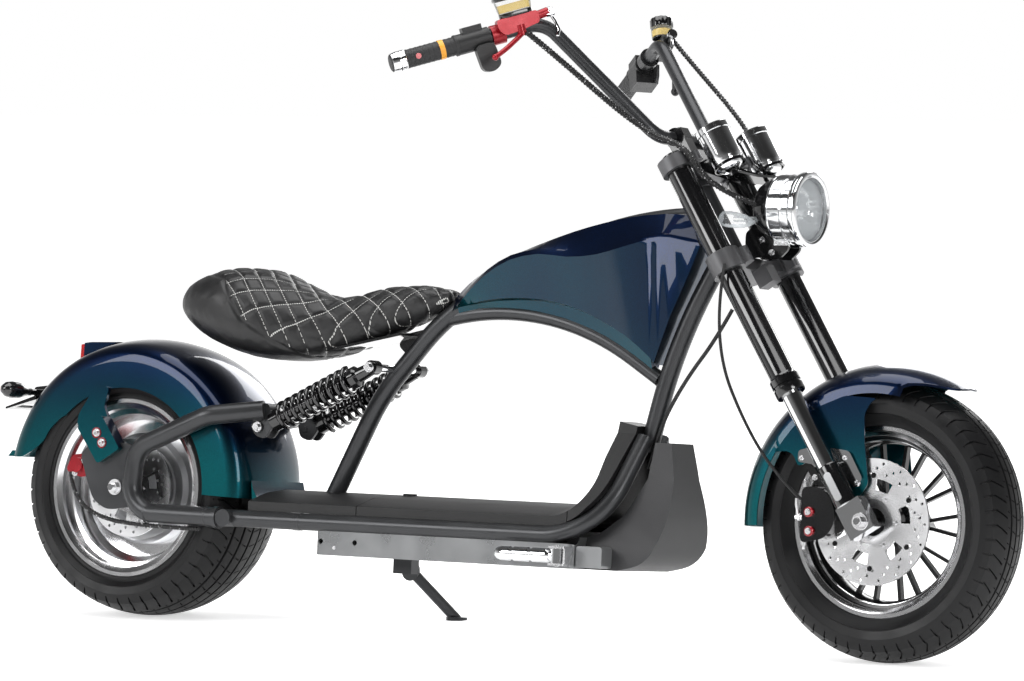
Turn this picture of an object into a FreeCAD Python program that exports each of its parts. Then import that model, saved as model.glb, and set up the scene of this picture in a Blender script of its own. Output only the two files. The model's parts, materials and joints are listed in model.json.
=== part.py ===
import FreeCAD, Part
import math
import os

# Electric chopper scooter, in millimetres and degrees. It is drawn upright with X forward, Y to the
# left, Z up and the rear axle over X = 0. The export leans it to the left, on to its side stand.
# Steered pieces are placed by their height up the steering axis, their distance ahead of it and Y.

# Stance
wheelbase = 1567.0
lean = 5.0
rake = 32.4
stem_to_legs = 30.0
legs_to_axle = 14.0
leg_spread = 105.0

# Wheels
rear_tyre_radius = 238.5
rear_tyre_width = 210.0
rear_crown = 250.0
front_tyre_radius = 243.5
front_tyre_width = 130.0
front_crown = 90.0
crown_steps = 5
flange_radius = 166.0
lip_radius = 156.0
bead_radius = 152.0
rear_rim_width = 190.0
front_rim_width = 96.0
rim_wall = 5.0
fit_gap = 0.3
motor_radius = 104.0
motor_width = 130.0
rear_axle_radius = 8.0
front_axle_radius = 7.5
axle_reach = 20.0
end_stud = 6.0
end_stud_length = 12.0
running_gap = 0.05
spoke_pairs = 10
spoke_width = 6.5
spoke_depth = 13.0
spoke_splay = 11.0
front_hub_radius = 34.0
front_hub_width = 104.0

# Brake discs
front_disc_radius = 110.0
front_disc_y = 74.0
rear_disc_radius = 92.0
rear_disc_y = 80.0
disc_thickness = 4.0
disc_hole = 2.8
disc_holes_per_ring = 18
disc_windows = 6
caliper_clearance = 1.5

# Frame tubes
main_tube = 17.0
tank_tube = 14.0
rail_tube = 15.5
rail_y = 125.0
rail_z = 193.0
swing_tube = 18.0
swing_y = 131.5
swing_bridge = 13.0
head_radius = 24.0
stem_radius = 14.0
pivot_x = 262.0
pivot_tube = 16.0
seat_tube_foot_x = 388.0

# Deck and battery box
deck_rear = 300.0
deck_side = 17.0
deck_crown = 41.0
hinge_radius = 3.0
hinge_pin = 1.5
hinge_half = 30.0
lid_rear = 538.0
lid_gap = 1.5
lid_opens = 40.0
box_rear = 456.0
box_half = 132.0
box_floor = 135.0
box_wall = 3.0
box_hole = 5.0
battery_width = 196.0
battery_height = 62.0
battery_room = 90.0

# Fork stations up the steering axis
lower_clamp_at = 528.0
upper_clamp_at = 731.0
lower_clamp_height = 38.0
upper_clamp_height = 26.0
clamp_ring = 31.0
fork_tube_radius = 23.0
slider_radius = 18.0
sleeve_radius = 20.0
collar_radius = 27.0
sleeve_low = 41.0
sleeve_high = 118.0
collar_low = 262.0
collar_high = 300.0
steer_angle = 35.0

# Handlebar, gauges and lamps
bar_radius = 12.5
bar_centre = (791.0, 29.7, 0.0)
bar_bend = (798.0, 18.5, 98.0)
bar_top = (1058.0, -29.5, 205.0)
bar_end = (1085.0, -234.0, 387.0)
bar_bends = (50.0, 40.0, 400.0, 40.0, 50.0)
grip_radius = 16.5
grip_length = 112.0
riser_y = 45.0
riser_half = 14.0
gauge_up = 674.0
gauge_length = 90.0
gauge_forward = 106.5
gauge_y = 71.0
gauge_radius = 29.0
lamp_up = 561.0
lamp_forward = 169.0
lamp_radius = 62.0
bezel_radius = 66.5
signal_up = 604.0
signal_forward = 59.0
signal_y = 100.0
signal_length = 68.0
hose_radius = 4.0

# Fenders
fender_gap = 42.5
fender_sheet = 2.5
rear_fender_half = 112.0
rear_fender_edge = 186.0
front_fender_gap = 32.5
front_fender_half = 84.0
front_fender_edge = 222.0

# Small joints and mounts
peg_x = 985.0
peg_z = 157.0
peg_out = 21.0
peg_length = 120.0
peg_radius = 13.0
peg_pin = 4.0
ear_gap = 0.3
shock_foot = (293.0, 363.0)
shock_top = (529.0, 480.0)
shock_y = 76.0
shock_pin = 7.0
spring_radius = 27.0
spring_coils = 9
stand_pivot = (500.0, 126.0, 108.0)
stand_foot = (536.0, 236.0, 22.0)
stand_axis = (-0.44, 0.88, 0.17)
stand_pin = 6.0
stand_folds = 105.0

# Values that follow
cos_lean = math.cos(math.radians(lean))
sin_lean = math.sin(math.radians(lean))
rear_axle_z = rear_tyre_radius + rear_crown * (1 / cos_lean - 1)
front_axle_z = front_tyre_radius + front_crown * (1 / cos_lean - 1)
sin_rake = math.sin(math.radians(rake))
cos_rake = math.cos(math.radians(rake))
fork_foot_x = wheelbase - (stem_to_legs + legs_to_axle) * cos_rake
fork_foot_z = front_axle_z - (stem_to_legs + legs_to_axle) * sin_rake
deck_front = wheelbase - 535.0
box_front = deck_front - 27.0
lid_front = deck_front - 49.0
nose_x = deck_front + 26.0
hinge_x = lid_front + lid_gap / 2
hinge_z = rail_z + 75.0
deck_low = rail_z + rail_tube + fit_gap
peg_y = box_half + peg_out
rear_fender_radius = rear_tyre_radius + fender_gap
front_fender_radius = front_tyre_radius + front_fender_gap
front_disc_inner = front_disc_y - disc_thickness / 2
front_disc_outer = front_disc_y + disc_thickness / 2
rear_disc_inner = rear_disc_y - disc_thickness / 2
rear_disc_outer = rear_disc_y + disc_thickness / 2
origin_x = 740.0
origin_y = 92.0


def vec(x, y, z):
    return FreeCAD.Vector(x, y, z)


def block(x0, x1, y0, y1, z0, z1):
    return Part.makeBox(x1 - x0, y1 - y0, z1 - z0, vec(x0, y0, z0))


def rod(start, end, radius):
    run = end - start
    return Part.makeCylinder(radius, run.Length, start, run)


def cross_rod(x, z, half, radius):
    """A rod across the vehicle, from -half to half."""
    return rod(vec(x, -half, z), vec(x, half, z), radius)


def mirrored(shape):
    return shape.mirror(vec(0, 0, 0), vec(0, 1, 0))


def both(shape):
    return Part.makeCompound([shape, mirrored(shape)])


def joined(shapes):
    solid = shapes[0]
    for other in shapes[1:]:
        solid = solid.fuse(other)
    return solid.removeSplitter()


def biggest(shape):
    return max(shape.Solids, key=lambda solid: solid.Volume)


def rounded(points, radius, steps=4):
    """An outline of (a, b) points with each corner replaced by short chords of an arc."""
    outline = []
    for index, corner in enumerate(points):
        before = points[index - 1]
        after = points[(index + 1) % len(points)]
        back = vec(before[0] - corner[0], before[1] - corner[1], 0)
        ahead = vec(after[0] - corner[0], after[1] - corner[1], 0)
        reach = min(radius, back.Length * 0.45, ahead.Length * 0.45)
        start = vec(corner[0], corner[1], 0) + back.normalize() * reach
        end = vec(corner[0], corner[1], 0) + ahead.normalize() * reach
        middle = vec(corner[0], corner[1], 0)
        for step in range(steps + 1):
            share = step / steps
            point = start * (1 - share) ** 2 + middle * (2 * share * (1 - share)) + end * share ** 2
            outline.append((point.x, point.y))
    return outline


def smooth(points, steps=4):
    """Points of an even curve through (a, b, ...) tuples, for the outlines of shells."""
    curve = []
    for index in range(len(points) - 1):
        p0 = points[max(index - 1, 0)]
        p1 = points[index]
        p2 = points[index + 1]
        p3 = points[min(index + 2, len(points) - 1)]
        for step in range(steps):
            t = step / steps
            curve.append(tuple(
                0.5 * (2 * b + (c - a) * t + (2 * a - 5 * b + 4 * c - d) * t ** 2 + (3 * b - a - 3 * c + d) * t ** 3)
                for a, b, c, d in zip(p0, p1, p2, p3)))
    curve.append(tuple(points[-1]))
    return curve


def bent_path(points, bends):
    """A wire of straight runs with a tangent arc at each inner point."""
    edges = []
    last = points[0]
    for index, bend in enumerate(bends):
        corner = points[index + 1]
        back = (points[index] - corner).normalize()
        ahead = (points[index + 2] - corner).normalize()
        half = back.getAngle(ahead) / 2
        reach = bend / math.tan(half)
        start = corner + back * reach
        end = corner + ahead * reach
        middle_way = (back + ahead).normalize()
        middle = corner + middle_way * (bend / math.sin(half) - bend)
        if (start - last).Length > 1e-6:
            edges.append(Part.LineSegment(last, start).toShape())
        edges.append(Part.Arc(start, middle, end).toShape())
        last = end
    edges.append(Part.LineSegment(last, points[-1]).toShape())
    return Part.Wire(edges)


def tube(points, bends, radius):
    path = bent_path(points, bends)
    way = points[1] - points[0]
    ring = Part.Wire([Part.makeCircle(radius, points[0], way)])
    return path.makePipeShell([ring], True, True)


def side_plate(outline, y0, y1):
    """A plate cut to an outline of (x, z) points, between two planes of y."""
    wire = Part.makePolygon([vec(x, y0, z) for x, z in outline + outline[:1]])
    return Part.Face(wire).extrude(vec(0, y1 - y0, 0))


def plan_plate(outline, z0, z1):
    """A plate cut to an outline of (x, y) points, between two heights."""
    wire = Part.makePolygon([vec(x, y, z0) for x, y in outline + outline[:1]])
    return Part.Face(wire).extrude(vec(0, 0, z1 - z0))


def wheel_ring(profile, x, z, start=0.0, sweep=360.0):
    """A profile of (y, radius) points turned about an axle, from an angle ahead of level."""
    wire = Part.makePolygon([vec(x + r, y, z) for y, r in profile + profile[:1]])
    face = Part.Face(wire)
    face.rotate(vec(x, 0, z), vec(0, -1, 0), start)
    return face.revolve(vec(x, 0, z), vec(0, -1, 0), sweep)


def flat_ring(y0, y1, inner, outer, x, z, start=0.0, sweep=360.0):
    return wheel_ring([(y0, inner), (y0, outer), (y1, outer), (y1, inner)], x, z, start, sweep)


def turned(start, way, profile):
    """A profile of (distance, radius) points turned about a line."""
    run = way.normalize()
    side = run.cross(vec(0, 1, 0) if abs(run.y) < 0.9 else vec(1, 0, 0)).normalize()
    points = [start + run * along + side * radius for along, radius in profile]
    points = [start + run * profile[0][0]] + points + [start + run * profile[-1][0]]
    return Part.Face(Part.makePolygon(points + points[:1])).revolve(start, run, 360)


def fork_point(up, forward, y):
    """A point by its height along the steering axis, its distance ahead of it and its side."""
    x = fork_foot_x - up * sin_rake + forward * cos_rake
    z = fork_foot_z + up * cos_rake + forward * sin_rake
    return vec(x, y, z)


def fork_rod(low, high, forward, y, radius):
    return rod(fork_point(low, forward, y), fork_point(high, forward, y), radius)


def fork_turned(forward, y, profile):
    """A profile of (height, radius) points turned about a line beside the steering axis."""
    return turned(fork_point(0, forward, y), fork_point(1, 0, 0) - fork_point(0, 0, 0), profile)


def fork_set(solid):
    solid.rotate(vec(0, 0, 0), vec(0, 1, 0), -rake)
    solid.translate(fork_point(0, 0, 0))
    return solid


def fork_block(low, high, back, front, y0, y1):
    """A block square to the steering axis."""
    return fork_set(Part.makeBox(front - back, y1 - y0, high - low, vec(back, y0, low)))


def fork_plate(outline, low, high):
    """A plate square to the steering axis, cut to (forward, y) points."""
    return fork_set(plan_plate(outline, low, high))


def fork_side(outline, y0, y1):
    """A plate beside the steering axis, cut to (height, forward) points."""
    points = [fork_point(up, forward, 0) for up, forward in outline]
    return side_plate([(point.x, point.z) for point in points], y0, y1)


def stud_axle(x, z, half, radius):
    """An axle whose ends step down to a free stud."""
    return joined([cross_rod(x, z, half, radius), cross_rod(x, z, half + end_stud_length, end_stud)])


# Routes of the tubes
backbone_points = [fork_point(646, 7.5, 0), fork_point(743.7, -155.6, 0), vec(640, 0, 590), vec(500, 0, 430),
                   vec(seat_tube_foot_x, 0, rail_z + 12)]
backbone_bends = [700, 420, 420]
down_points = [fork_point(588, 0, 0), fork_point(489.5, -174.8, 0), vec(deck_front + 40, 0, rail_z + 157)]
down_bends = [900]
low_points = [vec(640, 0, 575), vec(850, 0, 625), vec(deck_front + 58, 0, 478)]
low_bends = [520]
rail_points = [vec(pivot_x + 12, -rail_y, rail_z), vec(deck_front + 13, -rail_y, rail_z),
               vec(deck_front + 48, -26, rail_z + 179)]
rail_bends = [130]


def backbone(extra=0.0):
    return tube(backbone_points, backbone_bends, main_tube + extra)


def down_tube(extra=0.0):
    return tube(down_points, down_bends, main_tube + extra)


def low_tube(extra=0.0):
    return tube(low_points, low_bends, tank_tube + extra)


def rails(extra=0.0):
    return both(tube(rail_points, rail_bends, rail_tube + extra))


def tyre(radius, width, crown, rim_width, x, z):
    half = width / 2
    wall = radius - flange_radius
    edge = half - 0.2 * wall
    bead = rim_width / 2
    tread = []
    for step in range(crown_steps):
        y = edge * step / (crown_steps - 1)
        tread.append((y, radius - crown + math.sqrt(crown ** 2 - y ** 2)))
    shoulder = tread[-1][1]
    section = tread + [
        (half - 0.06 * wall, shoulder - 0.14 * wall),
        (half, radius - 0.5 * wall),
        (half - 0.04 * wall, flange_radius + 0.28 * wall),
        (bead + 2, flange_radius + 2),
        (bead - rim_wall - fit_gap, flange_radius + fit_gap),
        (bead - rim_wall - fit_gap, bead_radius + fit_gap),
    ]
    return wheel_ring(section + [(-y, r) for y, r in reversed(section[1:])], x, z)


def rim_barrel(width, well_radius, well_half, step_radius, step_y, x, z):
    """An open barrel with a flange, a channel and a raised step at each side of its well."""
    half = width / 2
    outer = [
        (half, flange_radius),
        (half - rim_wall, flange_radius),
        (half - rim_wall, bead_radius),
        (well_half + 6, bead_radius),
        (well_half, well_radius + rim_wall),
    ]
    inner = [
        (well_half - 4, well_radius),
        (well_half + 6, step_radius),
        (step_y, step_radius),
        (step_y + 2, bead_radius - 3),
        (half - rim_wall, bead_radius - 3),
        (half - 2, lip_radius),
        (half, lip_radius + 3),
    ]
    right = outer + [(-y, r) for y, r in reversed(outer)]
    return wheel_ring(right + [(-y, r) for y, r in reversed(inner)] + inner, x, z)


def brake_disc(inner_y, outer_y, hub_radius, radius, x, z):
    """A floating disc: three rings of small holes and a ring of windows outside its carrier."""
    disc = flat_ring(-outer_y, -inner_y, hub_radius, radius, x, z)
    cuts = []
    rings = [(radius - 8.0, 0.0), (radius - 17.0, 0.33), (radius - 26.0, 0.67)]
    for ring_radius, offset in rings:
        for index in range(disc_holes_per_ring):
            angle = math.radians(360 / disc_holes_per_ring * (index + offset))
            centre = vec(x + ring_radius * math.cos(angle), -outer_y - 1, z + ring_radius * math.sin(angle))
            cuts.append(rod(centre, centre + vec(0, outer_y - inner_y + 2, 0), disc_hole))
    for index in range(disc_windows):
        cuts.append(flat_ring(-outer_y - 1, -inner_y + 1, radius * 0.5, radius * 0.68, x, z,
                              360 / disc_windows * index, 26))
    return disc.cut(Part.makeCompound(cuts))


def front_wheel():
    x, z = wheelbase, front_axle_z
    barrel = rim_barrel(front_rim_width, 136.0, 18.0, 142.0, 30.0, x, z)
    bore = front_axle_radius + running_gap
    half = front_hub_width / 2
    hub = [(half, bore), (half, 24), (40, 24), (34, front_hub_radius), (16, front_hub_radius), (12, 26)]
    hub = wheel_ring(hub + [(-y, r) for y, r in reversed(hub)], x, z)
    spokes = []
    for pair in range(spoke_pairs):
        for side in (-1, 1):
            spoke = block(22, 139, -spoke_depth / 2, spoke_depth / 2, -spoke_width / 2, spoke_width / 2)
            spoke.rotate(vec(42, 0, 0), vec(0, 1, 0), side * spoke_splay)
            spoke.rotate(vec(0, 0, 0), vec(0, 1, 0), 360 / spoke_pairs * pair)
            spoke.translate(vec(x, 0, z))
            spokes.append(spoke)
    disc = brake_disc(front_disc_inner, front_disc_outer, 40, front_disc_radius, x, z)
    carrier = wheel_ring([(-front_disc_inner, 24.2), (-front_disc_inner, 50), (-front_disc_inner + 4, 50),
                          (-half + 2, 30), (-half + 2, 24.2)], x, z)
    return {
        "front_tyre": tyre(front_tyre_radius, front_tyre_width, front_crown, front_rim_width, x, z),
        "front_rim": joined([barrel, hub] + spokes),
        "front_disc": joined([disc, carrier]),
    }


def rear_wheel():
    x, z = 0.0, rear_axle_z
    barrel = rim_barrel(rear_rim_width, 128.0, 40.0, 139.0, 67.0, x, z)
    web = flat_ring(-8, 8, motor_radius + fit_gap, 132, x, z)
    half = motor_width / 2
    bore = rear_axle_radius + running_gap
    side = [(half, bore), (half, 40), (half - 12, 46), (half - 12, 62), (half - 16, 64), (half - 16, 78),
            (half - 20, 80), (half - 20, motor_radius - 8), (half - 28, motor_radius)]
    motor = wheel_ring(side + [(-y, r) for y, r in reversed(side)], x, z)
    disc = brake_disc(rear_disc_inner, rear_disc_outer, 28, rear_disc_radius, x, z)
    carrier = flat_ring(-rear_disc_inner, -half, bore, 36, x, z)
    return {
        "rear_tyre": tyre(rear_tyre_radius, rear_tyre_width, rear_crown, rear_rim_width, x, z),
        "rear_rim": joined([barrel, web]),
        "hub_motor": motor,
        "rear_disc": joined([disc, carrier]),
    }


def frame_tubes():
    head = fork_turned(0, 0, [(lower_clamp_at + 22, head_radius + 3), (lower_clamp_at + 34, head_radius + 3),
                              (lower_clamp_at + 36, head_radius), (upper_clamp_at - 30, head_radius),
                              (upper_clamp_at - 28, head_radius + 3), (upper_clamp_at - 16, head_radius + 3)])
    head = head.cut(fork_rod(lower_clamp_at, upper_clamp_at, 0, 0, stem_radius + running_gap))
    bore = fork_rod(lower_clamp_at - 60, upper_clamp_at + 60, 0, 0, head_radius + 3)
    back = backbone()
    down = down_tube()
    low = low_tube().cut(back).cut(down)
    side_rails = rails().cut(down)
    cross = cross_rod(seat_tube_foot_x, rail_z, rail_y - 10, rail_tube - 2).cut(side_rails)
    pivot = cross_rod(pivot_x, rail_z, swing_y + swing_tube + 2, pivot_tube)
    shock_bolt = cross_rod(shock_top[0], shock_top[1], shock_y + 16, shock_pin)
    return {
        "head_tube": head,
        "backbone_tube": back.cut(cross).cut(shock_bolt).cut(bore),
        "down_tube": joined([down, low]).cut(bore),
        "deck_rails": side_rails.cut(pivot),
        "cross_tube": biggest(cross),
        "pivot_tube": pivot,
    }


def deck():
    low = deck_low
    half = rail_y
    side = low + deck_side
    section = Part.makePolygon([
        vec(deck_rear, -half, low), vec(deck_rear, half, low), vec(deck_rear, half, side),
        vec(deck_rear, half - 8, side + 3), vec(deck_rear, half - 60, low + deck_crown - 7),
        vec(deck_rear, 0, low + deck_crown), vec(deck_rear, 60 - half, low + deck_crown - 7),
        vec(deck_rear, 8 - half, side + 3), vec(deck_rear, -half, side), vec(deck_rear, -half, low)])
    path = bent_path([vec(deck_rear, 0, low), vec(deck_front, 0, low), vec(deck_front + 36, 0, 393)], [112])
    board = path.makePipeShell([Part.Wire(section)], True, True)
    narrow = Part.Face(Part.makePolygon([
        vec(0, -half, low - 20), vec(0, half, low - 20), vec(0, half, low + 36), vec(0, 36, low + 171),
        vec(0, 36, low + 211), vec(0, -36, low + 211), vec(0, -36, low + 171), vec(0, -half, low + 36),
        vec(0, -half, low - 20)])).extrude(vec(nose_x + 150, 0, 0))
    board = board.common(narrow).cut(backbone(fit_gap)).cut(down_tube(fit_gap))
    rear = board.common(block(0, lid_rear - lid_gap, -200, 200, 0, 500))
    lid = board.common(block(lid_rear, lid_front, -200, 200, 0, 500))
    front = board.common(block(lid_front + lid_gap, nose_x + 150, -200, 200, 0, 500))
    lock = rod(vec(lid_rear + 34, 0, low + deck_crown - 3), vec(lid_rear + 34, 0, low + deck_crown + 3), 13)
    bore = cross_rod(hinge_x, hinge_z, hinge_half + 1, hinge_pin + running_gap)
    room = cross_rod(hinge_x, hinge_z, hinge_half + 26, hinge_radius + fit_gap)
    knuckle = joined([cross_rod(hinge_x, hinge_z, hinge_half, hinge_radius),
                      block(hinge_x - 12, hinge_x - lid_gap, -hinge_half, hinge_half, hinge_z - 16, hinge_z)])
    inner_end = hinge_half + ear_gap
    fixed = joined([rod(vec(hinge_x, inner_end, hinge_z), vec(hinge_x, hinge_half + 25, hinge_z), hinge_radius),
                    block(hinge_x, hinge_x + 8, inner_end, hinge_half + 25, hinge_z - hinge_radius - 3, hinge_z)])
    pin = cross_rod(hinge_x, hinge_z, hinge_half + 24, hinge_pin)
    lid = joined([lid.cut(room), knuckle, lock]).cut(bore).cut(rails(fit_gap))
    front = joined([front.cut(room), fixed, mirrored(fixed), pin])
    outer = rounded([(box_rear, -box_half), (box_front, -box_half), (box_front, box_half), (box_rear, box_half)], 12)
    wall = box_wall
    inner = rounded([(box_rear + wall, wall - box_half), (box_front - wall, wall - box_half),
                     (box_front - wall, box_half - wall), (box_rear + wall, box_half - wall)], 9)
    tub = plan_plate(outer, box_floor, rail_z - 2).cut(plan_plate(inner, box_floor + wall, rail_z + 20))
    tub = tub.cut(both(rod(vec(box_rear - 10, -rail_y, rail_z), vec(box_front + 60, -rail_y, rail_z),
                           rail_tube + fit_gap)))
    for x in (box_rear + 12, box_rear + 86):
        tub = tub.cut(cross_rod(x, 160, box_half + 1, box_hole))
    middle = (lid_rear + lid_front) / 2
    length = box_front - box_rear - battery_room * 1.43
    battery = block(middle - length / 2, middle + length / 2, -battery_width / 2, battery_width / 2,
                    box_floor + box_wall, box_floor + box_wall + battery_height)
    return {
        "deck_board": Part.makeCompound([rear, front]),
        "deck_lid": lid,
        "battery_box": biggest(tub),
        "battery_block": battery,
    }


def shield():
    """The nose below the down tube, wide at the rails and narrow at its top."""
    start = box_front + fit_gap
    face = smooth([(nose_x + 11, 135), (nose_x + 54, 146), (nose_x + 81, 168), (nose_x + 96, 205),
                   (nose_x + 100, 247), (nose_x + 95, 300), (nose_x + 83, 365)], 3)
    back = [(nose_x + 50, 365), (nose_x + 42, 300), (nose_x + 12, 235), (nose_x - 28, 200), (start, 192)]
    cover = side_plate([(start, 135)] + face + back, -92, 92)
    narrow = Part.Face(Part.makePolygon([
        vec(0, -92, 130), vec(0, 92, 130), vec(0, 92, 180), vec(0, 70, 235), vec(0, 46, 300), vec(0, 38, 370),
        vec(0, -38, 370), vec(0, -46, 300), vec(0, -70, 235), vec(0, -92, 180), vec(0, -92, 130),
    ])).extrude(vec(nose_x + 150, 0, 0))
    cover = cover.common(narrow).cut(rails(fit_gap)).cut(down_tube(fit_gap))
    plate = side_plate(rounded([(start + 2, 138), (start + 55, 138), (start + 55, 176), (start + 2, 176)], 6),
                       -box_half + 4, -92.2)
    return {
        "front_shield": biggest(cover),
        "shield_plates": both(plate),
    }


def tank_shell():
    """A slim pod round the low tank tube: sloped sides up to a crease, then a shoulder to the backbone."""
    stations = [
        # x, bottom, crease, top, half width at the crease
        (655, 584, 588, 612, 17),
        (676, 591, 603, 630, 27),
        (700, 598, 624, 648, 36),
        (740, 606, 656, 672, 43),
        (790, 610, 683, 696, 46),
        (850, 609, 695, 718, 46),
        (910, 599, 691, 738, 46),
        (970, 578, 696, 754, 46),
        (1030, 548, 712, 766, 46),
        (1080, 512, 725, 771, 45),
        (1120, 480, 728, 772, 44),
        (1190, 480, 714, 764, 42),
    ]
    reach = wheelbase - origin_x
    wires = []
    for x, bottom, crease, top, half in smooth(stations, 2):
        place = origin_x + (x - origin_x) * reach / (fork_foot_x + 37.15 - origin_x)
        side = [(half * 0.3, bottom), (half * 0.62, bottom + 5), (half, crease), (half * 0.9, crease + 9),
                (half * 0.45, top)]
        outline = side + [(-y, z) for y, z in reversed(side)]
        wires.append(Part.makePolygon([vec(place, y, z) for y, z in outline + outline[:1]]))
    shell = Part.makeLoft(wires, True, True)
    edge = [(720, -29), (603, -29), (574, -73), (552, -109), (530, -145), (501, -185), (472, -225), (440, -240),
            (400, 60), (720, 90)]
    front = [fork_point(up, forward, 0) for up, forward in edge]
    shell = shell.cut(side_plate([(point.x, point.z) for point in front], -60, 60))
    shell = shell.cut(backbone(fit_gap)).cut(low_tube(fit_gap)).cut(down_tube(fit_gap))
    return biggest(shell)


def seat():
    stations = [
        # x, bottom, top, half width
        (84, 562, 618, 68),
        (112, 540, 642, 100),
        (160, 512, 660, 122),
        (240, 490, 658, 133),
        (320, 488, 626, 118),
        (410, 505, 602, 88),
        (500, 538, 622, 66),
        (590, 573, 643, 52),
        (655, 606, 638, 30),
    ]
    wires = []
    for x, bottom, top, half in smooth(stations, 2):
        middle = (bottom + top) / 2
        tall = (top - bottom) / 2
        outline = []
        for step in range(16):
            angle = math.radians(22.5 * step + 11.25)
            across = math.copysign(abs(math.cos(angle)) ** 0.8, math.cos(angle))
            up = math.copysign(abs(math.sin(angle)) ** 0.8, math.sin(angle))
            outline.append(vec(x, half * across, middle + tall * up))
        wires.append(Part.makePolygon(outline + outline[:1]))
    return biggest(Part.makeLoft(wires, True, True).cut(backbone(2)))


def seat_mounts(cushion):
    pan = block(400, 570, -45, 45, 506, 511)
    pan.rotate(vec(400, 0, 506), vec(0, 1, 0), -12)
    front = side_plate(rounded([(538, 524), (556, 545), (620, 560), (604, 530), (560, 505)], 10), -12, 12)
    rear = rod(vec(425, 0, 508), vec(452, 0, 440), 8)
    spring = turned(vec(427, 0, 503), vec(25, 0, -63), [(0, 15), (6, 15), (10, 12), (22, 12), (26, 15), (32, 15)])
    mounts = joined([pan, front, rear, spring]).cut(backbone())
    return biggest(mounts.cut(cushion))


def swing_arm():
    low_end = vec(pivot_x - 17, -swing_y, rail_z)
    arm = tube([low_end, vec(36, -swing_y, rail_z + 2), vec(48, -swing_y, rail_z + 121),
                vec(205, -swing_y, rail_z + 187), vec(304, -92, rail_z + 201)], [52, 52, 60], swing_tube)
    collar = rod(low_end - vec(2, 0, 0), low_end + vec(-12, 0, 0), swing_tube + 2.5)
    bridge = cross_rod(304, rail_z + 201, 92, swing_bridge)
    x, z = shock_foot
    lug = rounded([(x - 16, z + 8), (x - 10, z - 15), (x + 14, z - 22), (x + 30, z), (x + 26, z + 34), (x - 8, z + 34)], 9)
    outer = side_plate(lug, -shock_y - 16, -shock_y - 10.3)
    inner = side_plate(lug, -shock_y + 10.3, -shock_y + 16)
    bolt = rod(vec(x, -shock_y - 20, z), vec(x, -shock_y + 18, z), shock_pin - 1)
    return joined([arm, mirrored(arm), bridge] + [part for piece in (collar, outer, inner, bolt)
                                                  for part in (piece, mirrored(piece))])


def axle_plates():
    z = rear_axle_z
    outline = rounded([(-84, z + 60), (-55, z + 83), (10, z + 83), (50, z + 78), (50, z - 34), (-18, z - 43),
                       (-50, z - 25), (-66, z + 12)], 14)
    return side_plate(outline, -swing_y + 4, -swing_y + 12).cut(cross_rod(0, z, 200, rear_axle_radius))


def fender_profile(half, radius, edge, curve):
    """A thin arched section of (y, radius) points from (share of half, drop) pairs."""
    outer = [(half, edge)] + [(half * share, radius - drop) for share, drop in curve]
    inner = [(y * (1 - fender_sheet / half), r - fender_sheet) for y, r in outer[1:]]
    inner = [(half - fender_sheet, edge)] + inner
    across = outer + [(-y, r) for y, r in reversed(outer[:-1])]
    back = inner + [(-y, r) for y, r in reversed(inner[:-1])]
    return across + list(reversed(back))


def rear_fender():
    z = rear_axle_z
    curve = [(1.0, 46), (0.985, 33), (0.945, 23.5), (0.87, 16.5), (0.76, 11.5), (0.62, 7.5), (0.44, 3.8),
             (0.22, 1.0), (0.0, 0.0)]
    shell = wheel_ring(fender_profile(rear_fender_half, rear_fender_radius, rear_fender_edge, curve), 0, z, -2, 172)
    tail = rounded([(-300, z + 48), (-230, z + 48), (-205, z + 62), (-182, z + 80), (-168, z + 104),
                    (-143, z + 126), (-121, z + 135), (-100, z + 120), (-100, z - 60), (-300, z - 60)], 8)
    shell = shell.cut(side_plate(tail, -120, 120))
    r = rear_fender_radius
    foot = side_plate([(r - 3, z + 24), (r, z - 9.8), (r + 15, z - 9.8), (r + 8, z - 2), (r + 1, z + 10)], -86, 86)
    lip = side_plate([(-r + 2, z + 60), (-r - 8, z + 48.5), (-r + 9, z + 48.5), (-r + 7, z + 60)], -78, 78)
    return joined([shell, foot, lip])


def front_fender():
    x, z = wheelbase, front_axle_z
    curve = [(0.97, 36), (0.9, 27.5), (0.8, 20), (0.67, 13), (0.52, 7.6), (0.36, 3.5), (0.18, 0.9), (0.0, 0.0)]
    shell = wheel_ring(fender_profile(front_fender_half, front_fender_radius, front_fender_edge, curve), x, z, 58, 126)
    side = [(-60, 88), (33, 84), (58, 76), (92, 64), (121, 50), (136, 34), (142, 14)]
    side = smooth(side, 3)
    plan = [(x - 300, 88)] + [(x + a, b) for a, b in side]
    shell = shell.common(plan_plate(plan + [(a, -b) for a, b in reversed(plan)], z - 100, z + 400))
    skirt = [(-194, 112), (-158, 158), (-112, 194), (-58, 216), (4, 213), (-10, 204), (-19, 184), (-17, 139),
             (-10, 92), (-6, 65), (-19, 46), (-31, 38), (-62, 58), (-107, 106), (-124, 103), (-136, 93),
             (-146, 92), (-155, 110), (-167, 116), (-183, 115)]
    skirt = side_plate(rounded([(x + a, z + b) for a, b in skirt], 7, 3), -front_fender_half,
                       fender_sheet - front_fender_half)
    return joined([shell, skirt, mirrored(skirt)])


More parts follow.
